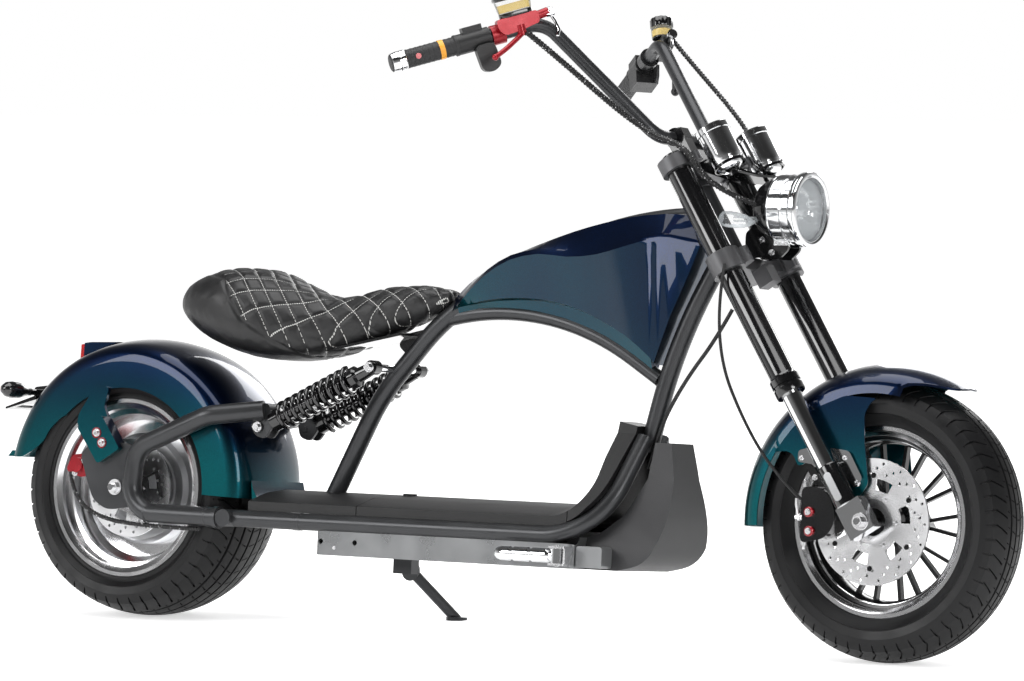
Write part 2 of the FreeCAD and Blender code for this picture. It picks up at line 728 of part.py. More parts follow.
def tail():
    z = rear_axle_z
    under = wheel_ring([(-130, 0.1), (-130, rear_fender_radius), (130, rear_fender_radius), (130, 0.1)], 0, z)
    top = rear_fender_radius - 10
    box = rounded([(-86, z + 110), (-30, z + 133), (14, z + 72), (-35, z + 42)], 7)
    arm = rounded([(-100, z + 112), (-98, z + 132), (-62, z + 188), (-30, z + 186), (-40, z + 150), (-24, z + 118),
                   (-60, z + 90)], 8)
    stays = joined([side_plate(box, -rear_fender_half - 28, -rear_fender_half - fit_gap),
                    side_plate(arm, -rear_fender_half - 8, -rear_fender_half - fit_gap)])
    light = side_plate([(-150, z + top - 40), (-148, z + top - 2), (-132, z + top), (-56, z + top + 2),
                        (-70, z + top - 30)], -42, 42)
    lens = side_plate([(-150.2, z + top - 36), (-158, z + top - 32), (-157, z + top - 5), (-148.4, z + top - 4)],
                      -40, 40)
    stem_x = -262
    stem_z = z + 172
    stem = cross_rod(stem_x, stem_z, 60, 6)
    plate = side_plate([(stem_x + 6, stem_z - 6), (stem_x + 6, stem_z - 14), (stem_x - 64, stem_z - 34),
                        (stem_x - 64, stem_z - 30)], -44, 44)
    plate = plate.cut(block(stem_x - 50, stem_x - 26, -30, 30, stem_z - 60, stem_z))
    hanger = side_plate(rounded([(stem_x - 8, stem_z + 10), (stem_x - 8, stem_z - 16), (-215, stem_z - 30),
                                 (-190, stem_z + 20)], 6), -30, 30).cut(under)
    bullet = turned(vec(stem_x, -52, stem_z), vec(-0.3, -1, 0.05),
                    [(0, 7), (10, 8), (28, 15), (46, 16), (58, 14), (66, 8), (68, 2)])
    return {
        "fender_stays": stays,
        "tail_light": biggest(light.cut(under)),
        "tail_lens": lens.cut(under),
        "rear_signals": joined([stem, plate, hanger, bullet, mirrored(bullet)]),
    }


def rear_brake():
    z = rear_axle_z
    outline = rounded([(-126, z + 30), (-112, z + 57), (-86, z + 60), (-69, z + 48), (-65, z + 26), (-87, z + 15),
                       (-116, z + 21)], 7)
    body = side_plate(outline, -rear_disc_y - 32, -rear_disc_y + 12)
    piston = rod(vec(-100, -rear_disc_y - 38, z + 38), vec(-100, -rear_disc_y - 30, z + 38), 14)
    slot = block(-104, -40, -rear_disc_outer - caliper_clearance, -rear_disc_inner + caliper_clearance, z, z + 80)
    foot = block(-82, -56, -swing_y + 12, -rear_disc_y - 30, z + 28, z + 54)
    return joined([body.cut(slot), piston, foot])


def shocks():
    low = vec(shock_foot[0], -shock_y, shock_foot[1])
    high = vec(shock_top[0], -shock_y, shock_top[1])
    side = vec(0, 10, 0)
    length = (high - low).Length
    body = turned(low, high - low, [(8, 10), (24, 10), (26, 20), (44, 20), (46, 8), (length - 52, 8),
                                    (length - 50, 20), (length - 38, 20), (length - 34, 14), (length - 8, 12)])
    body = joined([body, rod(low - side, low + side, 13), rod(high - side, high + side, 13)])
    start = 46
    end = length - 52
    pitch = (end - start) / spring_coils
    coils = []
    for coil in range(spring_coils):
        along = start + coil * pitch
        coils += [(along + 0.12 * pitch, spring_radius - 5), (along + 0.3 * pitch, spring_radius),
                  (along + 0.6 * pitch, spring_radius), (along + 0.78 * pitch, spring_radius - 5)]
    spring = turned(low, high - low, [(start, spring_radius - 5)] + coils + [(end, spring_radius - 5)])
    spring = spring.cut(rod(low, high, 8 + fit_gap))
    pin = cross_rod(shock_top[0], shock_top[1], shock_y + 16, shock_pin)
    return {
        "shock_bodies": both(body.cut(pin)),
        "shock_springs": both(spring),
        "shock_pin": pin,
    }


def clamp(middle, height, neck, thick):
    """A fork clamp: a ring round each leg, a waisted web between them and split ears with their bolts."""
    y = leg_spread
    low = middle - height / 2
    high = middle + height / 2
    web = rounded([(neck, -34), (stem_to_legs - 12, 12 - y), (stem_to_legs + 14, 12 - y), (stem_to_legs + 6, -40),
                   (stem_to_legs + 12, 0), (stem_to_legs + 6, 40), (stem_to_legs + 14, y - 12),
                   (stem_to_legs - 12, y - 12), (neck, 34)], 14)
    pieces = [fork_plate(web, middle - thick, middle + thick)]
    for side in (-1, 1):
        ear = [(stem_to_legs + 16, side * (y - 32)), (stem_to_legs + 40, side * (y - 30)),
               (stem_to_legs + 40, side * (y - 14)), (stem_to_legs + 20, side * (y - 8))]
        pieces.append(fork_rod(low, high, stem_to_legs, side * y, clamp_ring))
        pieces.append(fork_plate(rounded(ear, 5), low + 4, high - 4))
    return joined(pieces)


def steering():
    y = leg_spread
    forward = stem_to_legs
    low = lower_clamp_at
    high = upper_clamp_at
    clamp_top = high + upper_clamp_height / 2
    stem = fork_rod(low - 10, high + 20, 0, 0, stem_radius)
    leg_bores = both(fork_rod(0, high + 60, forward, -y, fork_tube_radius))
    link = fork_block(low - 44, low - 10, forward - 4, forward + 26, -16, 16)
    lower = joined([clamp(low, lower_clamp_height, -26, 11), link, stem]).cut(leg_bores)
    upper = clamp(high, upper_clamp_height, -24, 9).cut(stem).cut(leg_bores)
    groove = collar_radius - 2
    leg = fork_turned(forward, -y, [
        (collar_low, collar_radius - 1), (collar_low + 2, collar_radius), (collar_low + 14, collar_radius),
        (collar_low + 15, groove), (collar_low + 19, groove), (collar_low + 20, collar_radius),
        (collar_high - 6, collar_radius), (collar_high - 4, groove), (collar_high, fork_tube_radius),
        (clamp_top, fork_tube_radius), (clamp_top + 1, fork_tube_radius - 4), (clamp_top + 7, fork_tube_radius - 5)])
    lug = fork_block(-20, sleeve_low, forward - 18, forward + legs_to_axle + 18, -y - 14, -y + 14)
    x, z = wheelbase, front_axle_z
    tab = rounded([(x - 143, z + 98), (x - 143, z + 118), (x - 104, z + 128), (x - 43, z + 120), (x - 15, z + 74),
                   (x - 27, z + 56), (x - 67, z + 90)], 6)
    tab = side_plate(tab, -front_fender_half - 5, -front_fender_half - fit_gap)
    slider = joined([fork_rod(sleeve_high, collar_low, forward, -y, slider_radius),
                     fork_rod(sleeve_low, sleeve_high, forward, -y, slider_radius - 2), lug, tab])
    sleeve = fork_turned(forward, -y, [
        (sleeve_low, sleeve_radius), (sleeve_high - 3, sleeve_radius), (sleeve_high, sleeve_radius - 1)])
    axle = stud_axle(x, z, y + axle_reach - 4, front_axle_radius)
    slider = slider.cut(axle)
    return {
        "lower_clamp": lower,
        "upper_clamp": upper,
        "fork_tubes": both(leg),
        "fork_sliders": both(slider),
        "fork_sleeves": both(sleeve.cut(slider)),
        "front_axle": axle,
    }


def front_brake():
    x, z = wheelbase, front_axle_z
    outline = rounded([(x - 121, z - 42), (x - 121, z + 55), (x - 89, z + 57), (x - 66, z + 43), (x - 54, z + 12),
                       (x - 58, z - 14), (x - 75, z - 33)], 12)
    body = side_plate(outline, -front_disc_y - 36, -front_disc_y + 14)
    slot = block(x - 112, x - 30, -front_disc_outer - caliper_clearance, -front_disc_inner + caliper_clearance,
                 z - 80, z + 80)
    plate = rounded([(x - 128, z + 88), (x - 120, z + 96), (x - 98, z + 73), (x - 50, z + 16), (x - 43, z - 9),
                     (x - 54, z - 20), (x - 68, z - 26), (x - 90, z + 40), (x - 110, z + 60)], 6)
    plate = side_plate(plate, -front_disc_outer - 8, -front_disc_outer - 4)
    return joined([body.cut(slot), plate])


def front_lamps():
    face = fork_point(lamp_up, lamp_forward, 0)
    r = lamp_radius
    body = turned(face, vec(-1, 0, 0), [
        (0, r), (20, r), (21, r - 2), (24, r - 2), (25, r), (44, r), (45, r - 2), (48, r - 2), (49, r - 1),
        (60, r - 4), (72, r - 10), (84, r - 18), (88, r - 24), (90, r - 36)])
    bowl = turned(face, vec(-1, 0, 0), [(-20, 54), (0, 54), (16, 48), (28, 36), (34, 16)])
    slots = []
    for index in range(18):
        slot = Part.makeBox(16, 3, 6, vec(-18, -1.5, r - 2.5))
        slots += [slot, Part.makeBox(16, 3, 6, vec(-42, -1.5, r - 2.5))]
        for piece in slots[-2:]:
            piece.rotate(vec(0, 0, 0), vec(1, 0, 0), 20 * index)
            piece.translate(face)
    bezel = turned(face, vec(1, 0, 0), [
        (-6, bezel_radius - 1), (-4, bezel_radius), (2, bezel_radius), (4, bezel_radius - 2), (6, bezel_radius - 2),
        (8, bezel_radius - 4), (8, 1)])
    body = joined([body.cut(bowl).cut(Part.makeCompound(slots)), bezel.cut(rod(face - vec(20, 0, 0), face + vec(20, 0, 0), 56))])
    lens = turned(face, vec(1, 0, 0), [(0, 56 - fit_gap), (6, 56 - fit_gap), (10, 52), (14, 42), (17, 28), (18.5, 10)])
    side = [(582, 54), (588, 96), (540, 130), (512, 112), (507, 88), (532, 54), (538, 38), (556, 38)]
    stay = [fork_side(rounded(side, 6), -24, -18), fork_side(rounded(side, 6), 18, 24),
            fork_block(lower_clamp_at + 12, lower_clamp_at + 30, stem_to_legs + 12, stem_to_legs + 26, -24, 24)]
    hollow = rod(face - vec(34, 0, 0), face + vec(20, 0, 0), 56)
    stay = [piece.cut(hollow) for piece in stay]
    start = fork_point(signal_up, signal_forward, -signal_y)
    signal = turned(start, vec(1, 0, -0.1), [
        (0, 9), (4, 13), (16, 14.5), (30, 14), (46, 12), (58, 8), (signal_length - 2, 3), (signal_length, 1)])
    stalk = rod(start + vec(16, 4, -1), face + vec(-70, -24, -20), 5)
    headlight = joined([body] + stay)
    return {
        "headlight": headlight,
        "headlight_lens": lens,
        "front_signals": both(joined([signal, stalk]).cut(headlight)),
    }


def gauges():
    r = gauge_radius
    top = gauge_up + gauge_length
    cup = fork_turned(gauge_forward, -gauge_y, [
        (gauge_up, 8), (gauge_up + 2, 15), (gauge_up + 7, 22), (gauge_up + 16, 27), (gauge_up + 26, r),
        (top - 14, r + 1), (top - 13, r + 3), (top - 3, r + 3), (top - 1, r + 1), (top, r - 3)])
    return both(cup)


def gauge_bracket():
    low = gauge_up - 10
    bar = rounded([(gauge_forward - 12, -gauge_y - 14), (gauge_forward + 12, -gauge_y - 14), (gauge_forward + 6, 0),
                   (gauge_forward + 12, gauge_y + 14), (gauge_forward - 12, gauge_y + 14), (gauge_forward - 16, 0)], 9)
    studs = [fork_rod(low, gauge_up, gauge_forward, y, 7) for y in (-gauge_y, gauge_y)]
    arm = rounded([(low, gauge_forward + 4), (low + 7, gauge_forward + 4), (upper_clamp_at + 6, 52),
                   (upper_clamp_at + 6, 34), (upper_clamp_at - 8, 34), (low, gauge_forward - 20)], 4)
    web = clamp(upper_clamp_at, upper_clamp_height, -24, 9)
    arms = [fork_side(arm, side * 26 - 3, side * 26 + 3).cut(web) for side in (-1, 1)]
    return joined([fork_plate(bar, low, low + 5)] + studs + arms)


def bar_points():
    half = [bar_end, bar_top, bar_bend, bar_centre]
    return ([fork_point(up, forward, -y) for up, forward, y in half]
            + [fork_point(up, forward, y) for up, forward, y in half[2::-1]])


def on_grip(shape):
    """Move a shape on to the right end of the bar: X runs inward along it, -Y ahead of it, Z above it."""
    points = bar_points()
    along = (points[1] - points[0]).normalize()
    rearward = vec(0, 0, 1).cross(along).normalize()
    above = along.cross(rearward)
    spot = points[0]
    matrix = FreeCAD.Matrix(along.x, rearward.x, above.x, spot.x, along.y, rearward.y, above.y, spot.y,
                            along.z, rearward.z, above.z, spot.z, 0, 0, 0, 1)
    moved = shape.copy()
    moved.Placement = FreeCAD.Placement(matrix).multiply(moved.Placement)
    return moved


def along_rod(start, end, radius):
    return rod(vec(start, 0, 0), vec(end, 0, 0), radius)


def controls():
    points = bar_points()
    bar = tube(points, list(bar_bends), bar_radius)
    top = upper_clamp_at + upper_clamp_height / 2
    up, forward, middle = bar_centre
    saddle = rod(fork_point(up, forward, -riser_y - riser_half), fork_point(up, forward, -riser_y + riser_half), 19)
    riser = joined([fork_block(top, up - 6, forward - 17, forward + 17, -riser_y - riser_half, -riser_y + riser_half),
                    fork_block(up - 8, up + 12, forward - 15, forward + 19, -riser_y - riser_half,
                               -riser_y + riser_half), saddle]).cut(bar)
    grip = joined([turned(vec(-12, 0, 0), vec(1, 0, 0), [(0, 13), (2, 16), (12, 17.5), (26, 17.5), (28, 15.5)]),
                   turned(vec(14, 0, 0), vec(1, 0, 0), [(0, 15.5), (2, grip_radius), (grip_length - 20, grip_radius),
                                                        (grip_length - 18, 19), (grip_length - 14, 19)])])
    grip = on_grip(grip).cut(bar)
    housing = joined([along_rod(grip_length + fit_gap, 172, 18.5), block(126, 162, -9, 12, 8, 27)])
    pod = side_plate(rounded([(138, -10), (174, -10), (178, -52), (160, -62), (142, -56)], 12, 5), -22, -4)
    band = along_rod(176, 200, 18)
    perch = side_plate(rounded([(186, 6), (186, 24), (262, 24), (262, 2), (226, -4), (196, -6)], 6), -30, -10)
    base = rounded([(192, -36), (258, -36), (258, 0), (192, 0)], 10)
    shelf = plan_plate(base, 24, 29)
    right = on_grip(joined([housing, pod])).cut(bar)
    right_brake = joined([band, perch, rod(vec(262, -20, 14), vec(282, -20, 16), 8),
                          rod(vec(226, -26, -14), vec(226, -26, 6), 8)])
    lever = [vec(226, -26, -10), vec(208, -42, -18), vec(186, -54, -28), vec(160, -60, -38)]
    blade = tube(lever, [40, 60], 4.5)
    right_brake = on_grip(joined([right_brake, blade, Part.makeSphere(6, lever[-1])])).cut(bar).cut(right)
    right_cup = on_grip(joined([shelf, plan_plate(rounded([(190, -37), (260, -37), (260, 1), (190, 1)], 12), 29, 72)]))
    right_cup = right_cup.cut(right_brake).cut(bar)
    switch = joined([along_rod(grip_length + fit_gap, 170, 18.5), block(116, 164, -26, 16, -34, 20)])
    left = mirrored(on_grip(switch).cut(bar))
    left_brake = joined([along_rod(180, 204, 18), perch, rod(vec(262, -20, 14), vec(276, -20, 16), 7),
                         rod(vec(226, -26, -16), vec(226, -26, 6), 8)])
    fold = [vec(226, -28, -12), vec(214, -44, -34), vec(196, -48, -62)]
    left_brake = joined([left_brake, tube(fold, [20], 6), Part.makeSphere(8, fold[-1])])
    left_brake = mirrored(on_grip(left_brake).cut(bar))
    round_cup = turned(vec(228, -18, 24), vec(0, 0, 1), [(0, 12), (4, 19), (26, 20), (28, 22), (42, 22), (44, 19)])
    left_cup = mirrored(on_grip(round_cup).cut(bar)).cut(left_brake)
    return {
        "handlebar": bar,
        "riser": Part.makeCompound([riser, mirrored(riser), gauge_bracket()]),
        "grips": both(grip),
        "brake_controls": Part.makeCompound([right, left.cut(left_brake)]),
        "brake_levers": Part.makeCompound([right_brake, left_brake]),
        "reservoirs": Part.makeCompound([right_cup, left_cup]),
    }


def hoses(pieces):
    """Hoses that stay in place: from the bar to the lamp, and along the fork to the front caliper."""
    lamp = fork_point(lamp_up + 43, lamp_forward - 61, -34)
    right = [on_grip(Part.Vertex(vec(236, -30, -12))).Point, fork_point(1019, -43, -219), fork_point(802, 16, -127),
             fork_point(752, 67, -112), fork_point(660, 70, -108), lamp]
    right_bends = [60, 60, 60, 40]
    beside = vec(0, -2 * hose_radius - 1, -1)
    near = tube(right, right_bends, hose_radius)
    twin = tube([point + beside for point in right], right_bends, hose_radius)
    left = [on_grip(Part.Vertex(vec(272, -20, 15))).Point, fork_point(1006, 5, -202), fork_point(783, 91, -113),
            fork_point(700, 77, -113), lamp]
    other = mirrored(tube(left, [24, 200, 60], hose_radius))
    x, z = wheelbase, front_axle_z
    clip = fork_point(lower_clamp_at - 10, stem_to_legs + 14, -leg_spread - 34)
    brake = [clip, vec(x - 306, -leg_spread - 20, z + 305), vec(x - 222, -leg_spread - 10, z + 130),
             vec(x - 130, -leg_spread - 6, z + 36), vec(x - 116, -leg_spread - 1, z + 30)]
    brake = tube(brake, [300, 200, 12], hose_radius - 1.2)
    holder = fork_block(lower_clamp_at - 14, lower_clamp_at - 6, stem_to_legs + 8, stem_to_legs + 20,
                        -leg_spread - 37, -leg_spread - 20)
    z = rear_axle_z
    rear = [vec(-114, -rear_disc_y - 34, z + 24), vec(-104, -rear_disc_y - 36, z - 20), vec(-30, -swing_y, z - 60),
            vec(90, -swing_y - 4, z - 69.5), vec(200, -swing_y - 4, z - 69.5)]
    rear = tube(rear, [40, 90, 200], hose_radius)
    steered = joined([pieces["headlight"], pieces["brake_levers"]])
    return {
        "bar_hoses": Part.makeCompound([piece.cut(steered) for piece in (near, twin, other)]),
        "front_brake_hose": joined([brake, holder]).cut(pieces["lower_clamp"]).cut(pieces["fork_tubes"])
        .cut(pieces["front_caliper"]),
        "rear_brake_hose": biggest(rear.cut(pieces["rear_caliper"]).cut(pieces["swing_arm"])),
    }


def peg():
    tip = vec(peg_x - peg_length, -peg_y, peg_z)
    body = turned(tip, vec(1, 0, 0), [
        (-12, 2), (-9, 7), (-3, 11), (4, peg_radius), (22, peg_radius), (24, peg_radius - 2), (30, peg_radius - 2),
        (32, peg_radius), (60, peg_radius), (62, peg_radius - 2), (68, peg_radius - 2), (70, peg_radius),
        (peg_length - 20, peg_radius), (peg_length - 14, 9), (peg_length, 9)])
    reach = peg_radius + ear_gap
    axis = vec(peg_x, -peg_y, peg_z)
    body = joined([body, rod(axis - vec(0, 0, peg_radius), axis + vec(0, 0, peg_radius), 12)])
    body = body.cut(rod(axis - vec(0, 0, 30), axis + vec(0, 0, 30), peg_pin + running_gap))
    ear = rounded([(peg_x - 14, -peg_y - 14), (peg_x + 20, -peg_y - 14), (peg_x + 20, -box_half),
                   (peg_x - 14, -box_half)], 6)
    back = block(peg_x + 15.5, peg_x + 20, -peg_y - 8, -box_half, peg_z - reach - 4, peg_z + reach + 4)
    foot = block(peg_x - 24, peg_x + 20, -box_half - 4, -box_half, peg_z - reach - 4, peg_z + reach + 4)
    bracket = joined([plan_plate(ear, peg_z + reach, peg_z + reach + 4), back, foot,
                      plan_plate(ear, peg_z - reach - 4, peg_z - reach),
                      rod(axis - vec(0, 0, reach + 6), axis + vec(0, 0, reach + 6), peg_pin)])
    return body, bracket


def side_stand():
    pivot = vec(*stand_pivot)
    foot = vec(*stand_foot)
    axis = vec(*stand_axis).normalize()
    leg = rod(pivot + axis * 10, foot, 10)
    eye = rod(pivot + axis * 4, pivot + axis * 18, 16)
    pad = rod(foot + vec(0, 0, 4), foot + vec(0, 0, -6), 20)
    stand = joined([leg, eye, pad]).cut(rod(pivot - axis * 30, pivot + axis * 4, 60))
    pin = rod(pivot - axis * 8, pivot + axis * 22, stand_pin)
    stand = stand.cut(rod(pivot - axis * 30, pivot + axis * 40, stand_pin + running_gap))
    bracket = joined([rod(pivot - axis * 12, pivot + axis * 3.7, 15),
                      block(pivot.x - 20, pivot.x + 20, 96, 122, pivot.z - 4, box_floor)])
    bracket = bracket.cut(rod(pivot + axis * 3.7, pivot + axis * 60, 60))
    return stand, biggest(joined([bracket, pin]).cut(block(0, 900, 96, 122, box_floor, 400)))


def placed(shape):
    """Lean the upright shape to its left and move the origin under the middle."""
    solid = shape.copy()
    solid.rotate(vec(0, 0, 0), vec(1, 0, 0), -lean)
    solid.translate(vec(-origin_x, -origin_y, 0))
    return solid


def main():
    pieces = {}
    for group in (frame_tubes(), deck(), shield(), tail(), shocks(), steering(), front_lamps(), controls(),
                  front_wheel(), rear_wheel()):
        pieces.update(group)
    pieces["tank_shell"] = tank_shell()
    pieces["seat"] = seat()
    pieces["seat_pan"] = seat_mounts(pieces["seat"])
    pieces["swing_arm"] = swing_arm()
    plate = axle_plates().cut(pieces["swing_arm"])
    pieces["axle_plates"] = both(plate)
    pieces["rear_axle"] = stud_axle(0, rear_axle_z, swing_y + 0.5, rear_axle_radius)
    pieces["rear_fender"] = biggest(rear_fender().cut(pieces["swing_arm"]))
    pieces["fender_stays"] = both(biggest(pieces["fender_stays"].cut(plate)))
    pieces["rear_caliper"] = rear_brake()
    pieces["shock_bodies"] = pieces["shock_bodies"].cut(pieces["swing_arm"])
    pieces["front_fender"] = front_fender()
    pieces["front_caliper"] = front_brake()
    pieces["gauges"] = gauges()
    pieces.update(hoses(pieces))
    right_peg, right_bracket = peg()
    pieces["right_peg"] = right_peg
    pieces["left_peg"] = mirrored(right_peg)
    pieces["peg_brackets"] = both(right_bracket)
    pieces["side_stand"], pieces["stand_bracket"] = side_stand()
    os.makedirs("parts", exist_ok=True)
    for name, shape in pieces.items():
        solid = placed(shape)
        solid.exportStep("parts/" + name + ".step")
        box = solid.BoundBox
        print(name, "solids", len(solid.Solids), "valid", solid.isValid(), "litres", round(solid.Volume / 1e6, 3),
              "x", round(box.XMin), round(box.XMax), "y", round(box.YMin), round(box.YMax),
              "z", round(box.ZMin, 1), round(box.ZMax))


main()
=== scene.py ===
import json
import math

import bmesh
import bpy
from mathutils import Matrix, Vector


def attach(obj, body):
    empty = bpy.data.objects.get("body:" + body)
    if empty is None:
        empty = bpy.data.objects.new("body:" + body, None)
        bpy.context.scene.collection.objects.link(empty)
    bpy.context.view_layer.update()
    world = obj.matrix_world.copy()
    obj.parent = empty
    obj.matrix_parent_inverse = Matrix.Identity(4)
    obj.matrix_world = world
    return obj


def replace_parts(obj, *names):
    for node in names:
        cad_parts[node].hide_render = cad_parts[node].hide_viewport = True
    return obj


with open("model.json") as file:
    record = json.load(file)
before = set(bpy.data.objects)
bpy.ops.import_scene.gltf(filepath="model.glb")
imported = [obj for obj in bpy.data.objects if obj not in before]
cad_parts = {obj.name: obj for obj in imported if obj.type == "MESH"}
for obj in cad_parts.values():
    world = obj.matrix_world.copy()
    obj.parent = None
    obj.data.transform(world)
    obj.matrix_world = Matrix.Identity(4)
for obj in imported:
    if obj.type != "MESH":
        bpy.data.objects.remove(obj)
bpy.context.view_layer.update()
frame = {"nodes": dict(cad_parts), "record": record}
nodes = frame["nodes"]
record = frame["record"]
slotOf = {part["node"]: part["material_slot"] for part in record["subparts"]}

lean = math.radians(5.0)  # the vehicle leans on its side stand
originShift = (0.740, 0.092)  # from the rear axle's foot to the frame's origin


def leaned(x, y, z):  # a point of the upright vehicle, in the frame
    return Vector((x - originShift[0], y * math.cos(lean) + z * math.sin(lean) - originShift[1],
                   -y * math.sin(lean) + z * math.cos(lean)))


def inFrame(place):  # the same for a place in millimetres
    return leaned(*(place / 1000))


def upright(point):  # a point of the frame, in millimetres on the upright vehicle
    y, z = point.y + originShift[1], point.z
    return 1000 * Vector((point.x + originShift[0], y * math.cos(lean) - z * math.sin(lean),
                          y * math.sin(lean) + z * math.cos(lean)))


def at(x, y, z):
    return Vector((x, y, z))


# Camera, at the photograph's place
view = {"azimuth": 31.79, "elevation": 2.88, "place": (6.0177, -8.4112, 1.0377), "focalPixels": 5502.3,
        "imageWidth": 1024, "sensorWidth": 36.0, "farClip": 200.0}
heading, tilt = math.radians(view["azimuth"]), math.radians(view["elevation"])
lookBack = Vector((math.sin(heading) * math.cos(tilt), -math.cos(heading) * math.cos(tilt), math.sin(tilt)))
camera = bpy.data.objects.new("camera", bpy.data.cameras.new("camera"))
camera.data.sensor_width = view["sensorWidth"]
camera.data.lens = view["focalPixels"] / view["imageWidth"] * view["sensorWidth"]
camera.location = Vector(view["place"]) - Vector((*originShift, 0))
camera.rotation_mode = "QUATERNION"
camera.rotation_quaternion = (-lookBack).to_track_quat("-Z", "Y")
camera.data.clip_end = view["farClip"]
bpy.context.scene.collection.objects.link(camera)
bpy.context.scene.camera = camera
bpy.context.scene.view_settings.view_transform = "Standard"


class Wire:  # one output socket, so that sums on it are written as Python
    def __init__(self, recipe, socket):
        self.recipe = recipe
        self.socket = socket

    def __add__(self, other):
        return self.recipe.calc("ADD", self, other)

    def __sub__(self, other):
        return self.recipe.calc("SUBTRACT", self, other)

    def __rsub__(self, other):
        return self.recipe.calc("SUBTRACT", other, self)

    def __mul__(self, other):
        return self.recipe.calc("MULTIPLY", self, other)

    def __rmul__(self, other):
        return self.recipe.calc("MULTIPLY", other, self)

    def __truediv__(self, other):
        return self.recipe.calc("DIVIDE", self, other)


class Recipe:  # the nodes of a material, of the world or of a modifier
    def __init__(self, owner, tree=None):
        self.owner = owner
        if owner:
            owner.use_nodes = True
            owner.node_tree.nodes.clear()
        self.tree = tree or owner.node_tree

    def add(self, kind, settings=None, inputs=None, output=0):
        node = self.tree.nodes.new(kind)
        for key, value in (settings or {}).items():
            setattr(node, key, value)
        for key, value in (inputs or {}).items():
            if isinstance(value, Wire):
                self.tree.links.new(value.socket, node.inputs[key])
            else:
                node.inputs[key].default_value = value
        return Wire(self, node.outputs[output]) if node.outputs else None

    def calc(self, operation, first, second=0.0):
        return self.add("ShaderNodeMath", {"operation": operation}, {0: first, 1: second})

    def scaled(self, vector, factor):
        return self.add("ShaderNodeVectorMath", {"operation": "SCALE"}, {0: vector, "Scale": factor})

    def place(self):
        return self.add("ShaderNodeTexCoord", output="Object")

    def noise(self, scale, detail=3, roughness=0.5):
        return self.add("ShaderNodeTexNoise", {}, {"Vector": self.place(), "Scale": scale, "Detail": detail,
                                                   "Roughness": roughness})

    def cells(self, scale, feature="F1", output=0):
        return self.add("ShaderNodeTexVoronoi", {"feature": feature}, {"Vector": self.place(), "Scale": scale}, output)

    def blend(self, mask, dark, light):
        shades = [shade if isinstance(shade, Wire) else (*shade, 1) for shade in (dark, light)]
        return self.add("ShaderNodeMix", {"data_type": "RGBA"}, {0: mask, 6: shades[0], 7: shades[1]}, 2)

    def between(self, value, low, high, start=0.0, end=1.0):
        return self.add("ShaderNodeMapRange", {"interpolation_type": "SMOOTHSTEP"},
                        {0: value, 1: low, 2: high, 3: start, 4: end})

    def patchy(self, cloud, smooth, rough):  # a roughness that follows a noise
        return self.between(cloud, 0.3, 0.7, smooth, rough)

    def axes(self, vector=None):
        split = self.tree.nodes.new("ShaderNodeSeparateXYZ")
        self.tree.links.new((vector or self.place()).socket, split.inputs[0])
        return [Wire(self, output) for output in split.outputs]

    def bump(self, height, depth, strength=1.0):
        return self.add("ShaderNodeBump", {}, {"Height": height, "Distance": depth, "Strength": strength})

    def grain(self, scale, depth, detail=2):
        return self.bump(self.noise(scale, detail), depth)

    def surface(self, **inputs):
        named = {key.replace("_", " "): (*value, 1) if isinstance(value, tuple) and len(value) == 3 else value
                 for key, value in inputs.items()}
        shader = self.add("ShaderNodeBsdfPrincipled", {}, named)
        self.add("ShaderNodeOutputMaterial", {}, {0: shader})
        return self.owner


def recipe(name):
    return Recipe(bpy.data.materials.new(name))


rearAxle = at(0, 0, 239.5)
frontAxle = at(1567, 0, 243.8)


def onFork(up, forward, y):  # height up the steering axis, distance ahead of it and side
    return at(1529.9 - up * 0.5358 + forward * 0.8443, y, 220.4 + up * 0.8443 + forward * 0.5358)


lampFace = onFork(561, 169, 0)

# Finishes
softBlack = (0.006, 0.006, 0.0065)
reds = ((0.24, 0.002, 0.008), (0.32, 0.004, 0.012))
chromes = ((0.72, 0.73, 0.74), (0.86, 0.86, 0.87))
teal = {"navy": (0.0010, 0.0070, 0.030), "green": (0.0, 0.092, 0.100), "paintedTealHeights": (0.24, 0.50), "flakes": 1400}
rimBands = {"lip": (0.1495, 0.1505), "ringInside": (0.1335, 0.1345), "ringOutside": (0.1425, 0.1435),
            "ringSide": (0.024, 0.026), "bright": (0.80, 0.80, 0.81)}
lampBands = {"shell": (0.0685, 0.0695), "behind": (0.052, 0.050), "bright": (0.70, 0.71, 0.72)}


# navy and green are the paint's own two colours; where each shows is painted light, by facing and height
def tealPaint():
    mix = recipe("tealPaint")
    facing = mix.axes(mix.add("ShaderNodeTexCoord", output="Normal"))
    low = mix.between(mix.axes()[2], *teal["paintedTealHeights"], 0.70, 0.0)  # painted light: the colour turns from navy to teal lower down and where surfaces face down or rearward, standing in for the paint's colour flip with the angle of light and for its highlights
    paintedLightFlip = mix.between(mix.noise(2.6, 2) * 0.5 + low - facing[2] * 0.75 - facing[0] * 0.30, 0.05, 1.15)
    spark = mix.axes(mix.cells(teal["flakes"], output="Color"))[0] * 0.5 + 0.75
    return mix.surface(Base_Color=mix.scaled(mix.blend(paintedLightFlip, teal["navy"], teal["green"]), spark), Metallic=0.88,
                       Roughness=0.30, Coat_Weight=1.0, Coat_Roughness=0.02, Coat_IOR=1.32, Specular_IOR_Level=0.2,
                       Normal=mix.grain(3, 0.0004, 1))


def wheelRadius(mix, centre):  # distance from a wheel's axle and from its middle, on the leaning vehicle
    hub = inFrame(centre)
    axle = leaned(0, 1, 0) - leaned(0, 0, 0)
    x, y, z = mix.axes()
    off = (x - hub.x, y - hub.y, z - hub.z)
    side = off[1] * axle.y + off[2] * axle.z
    square = off[0] * off[0] + off[1] * off[1] + off[2] * off[2] - side * side
    return mix.calc("SQRT", square), mix.calc("ABSOLUTE", side)


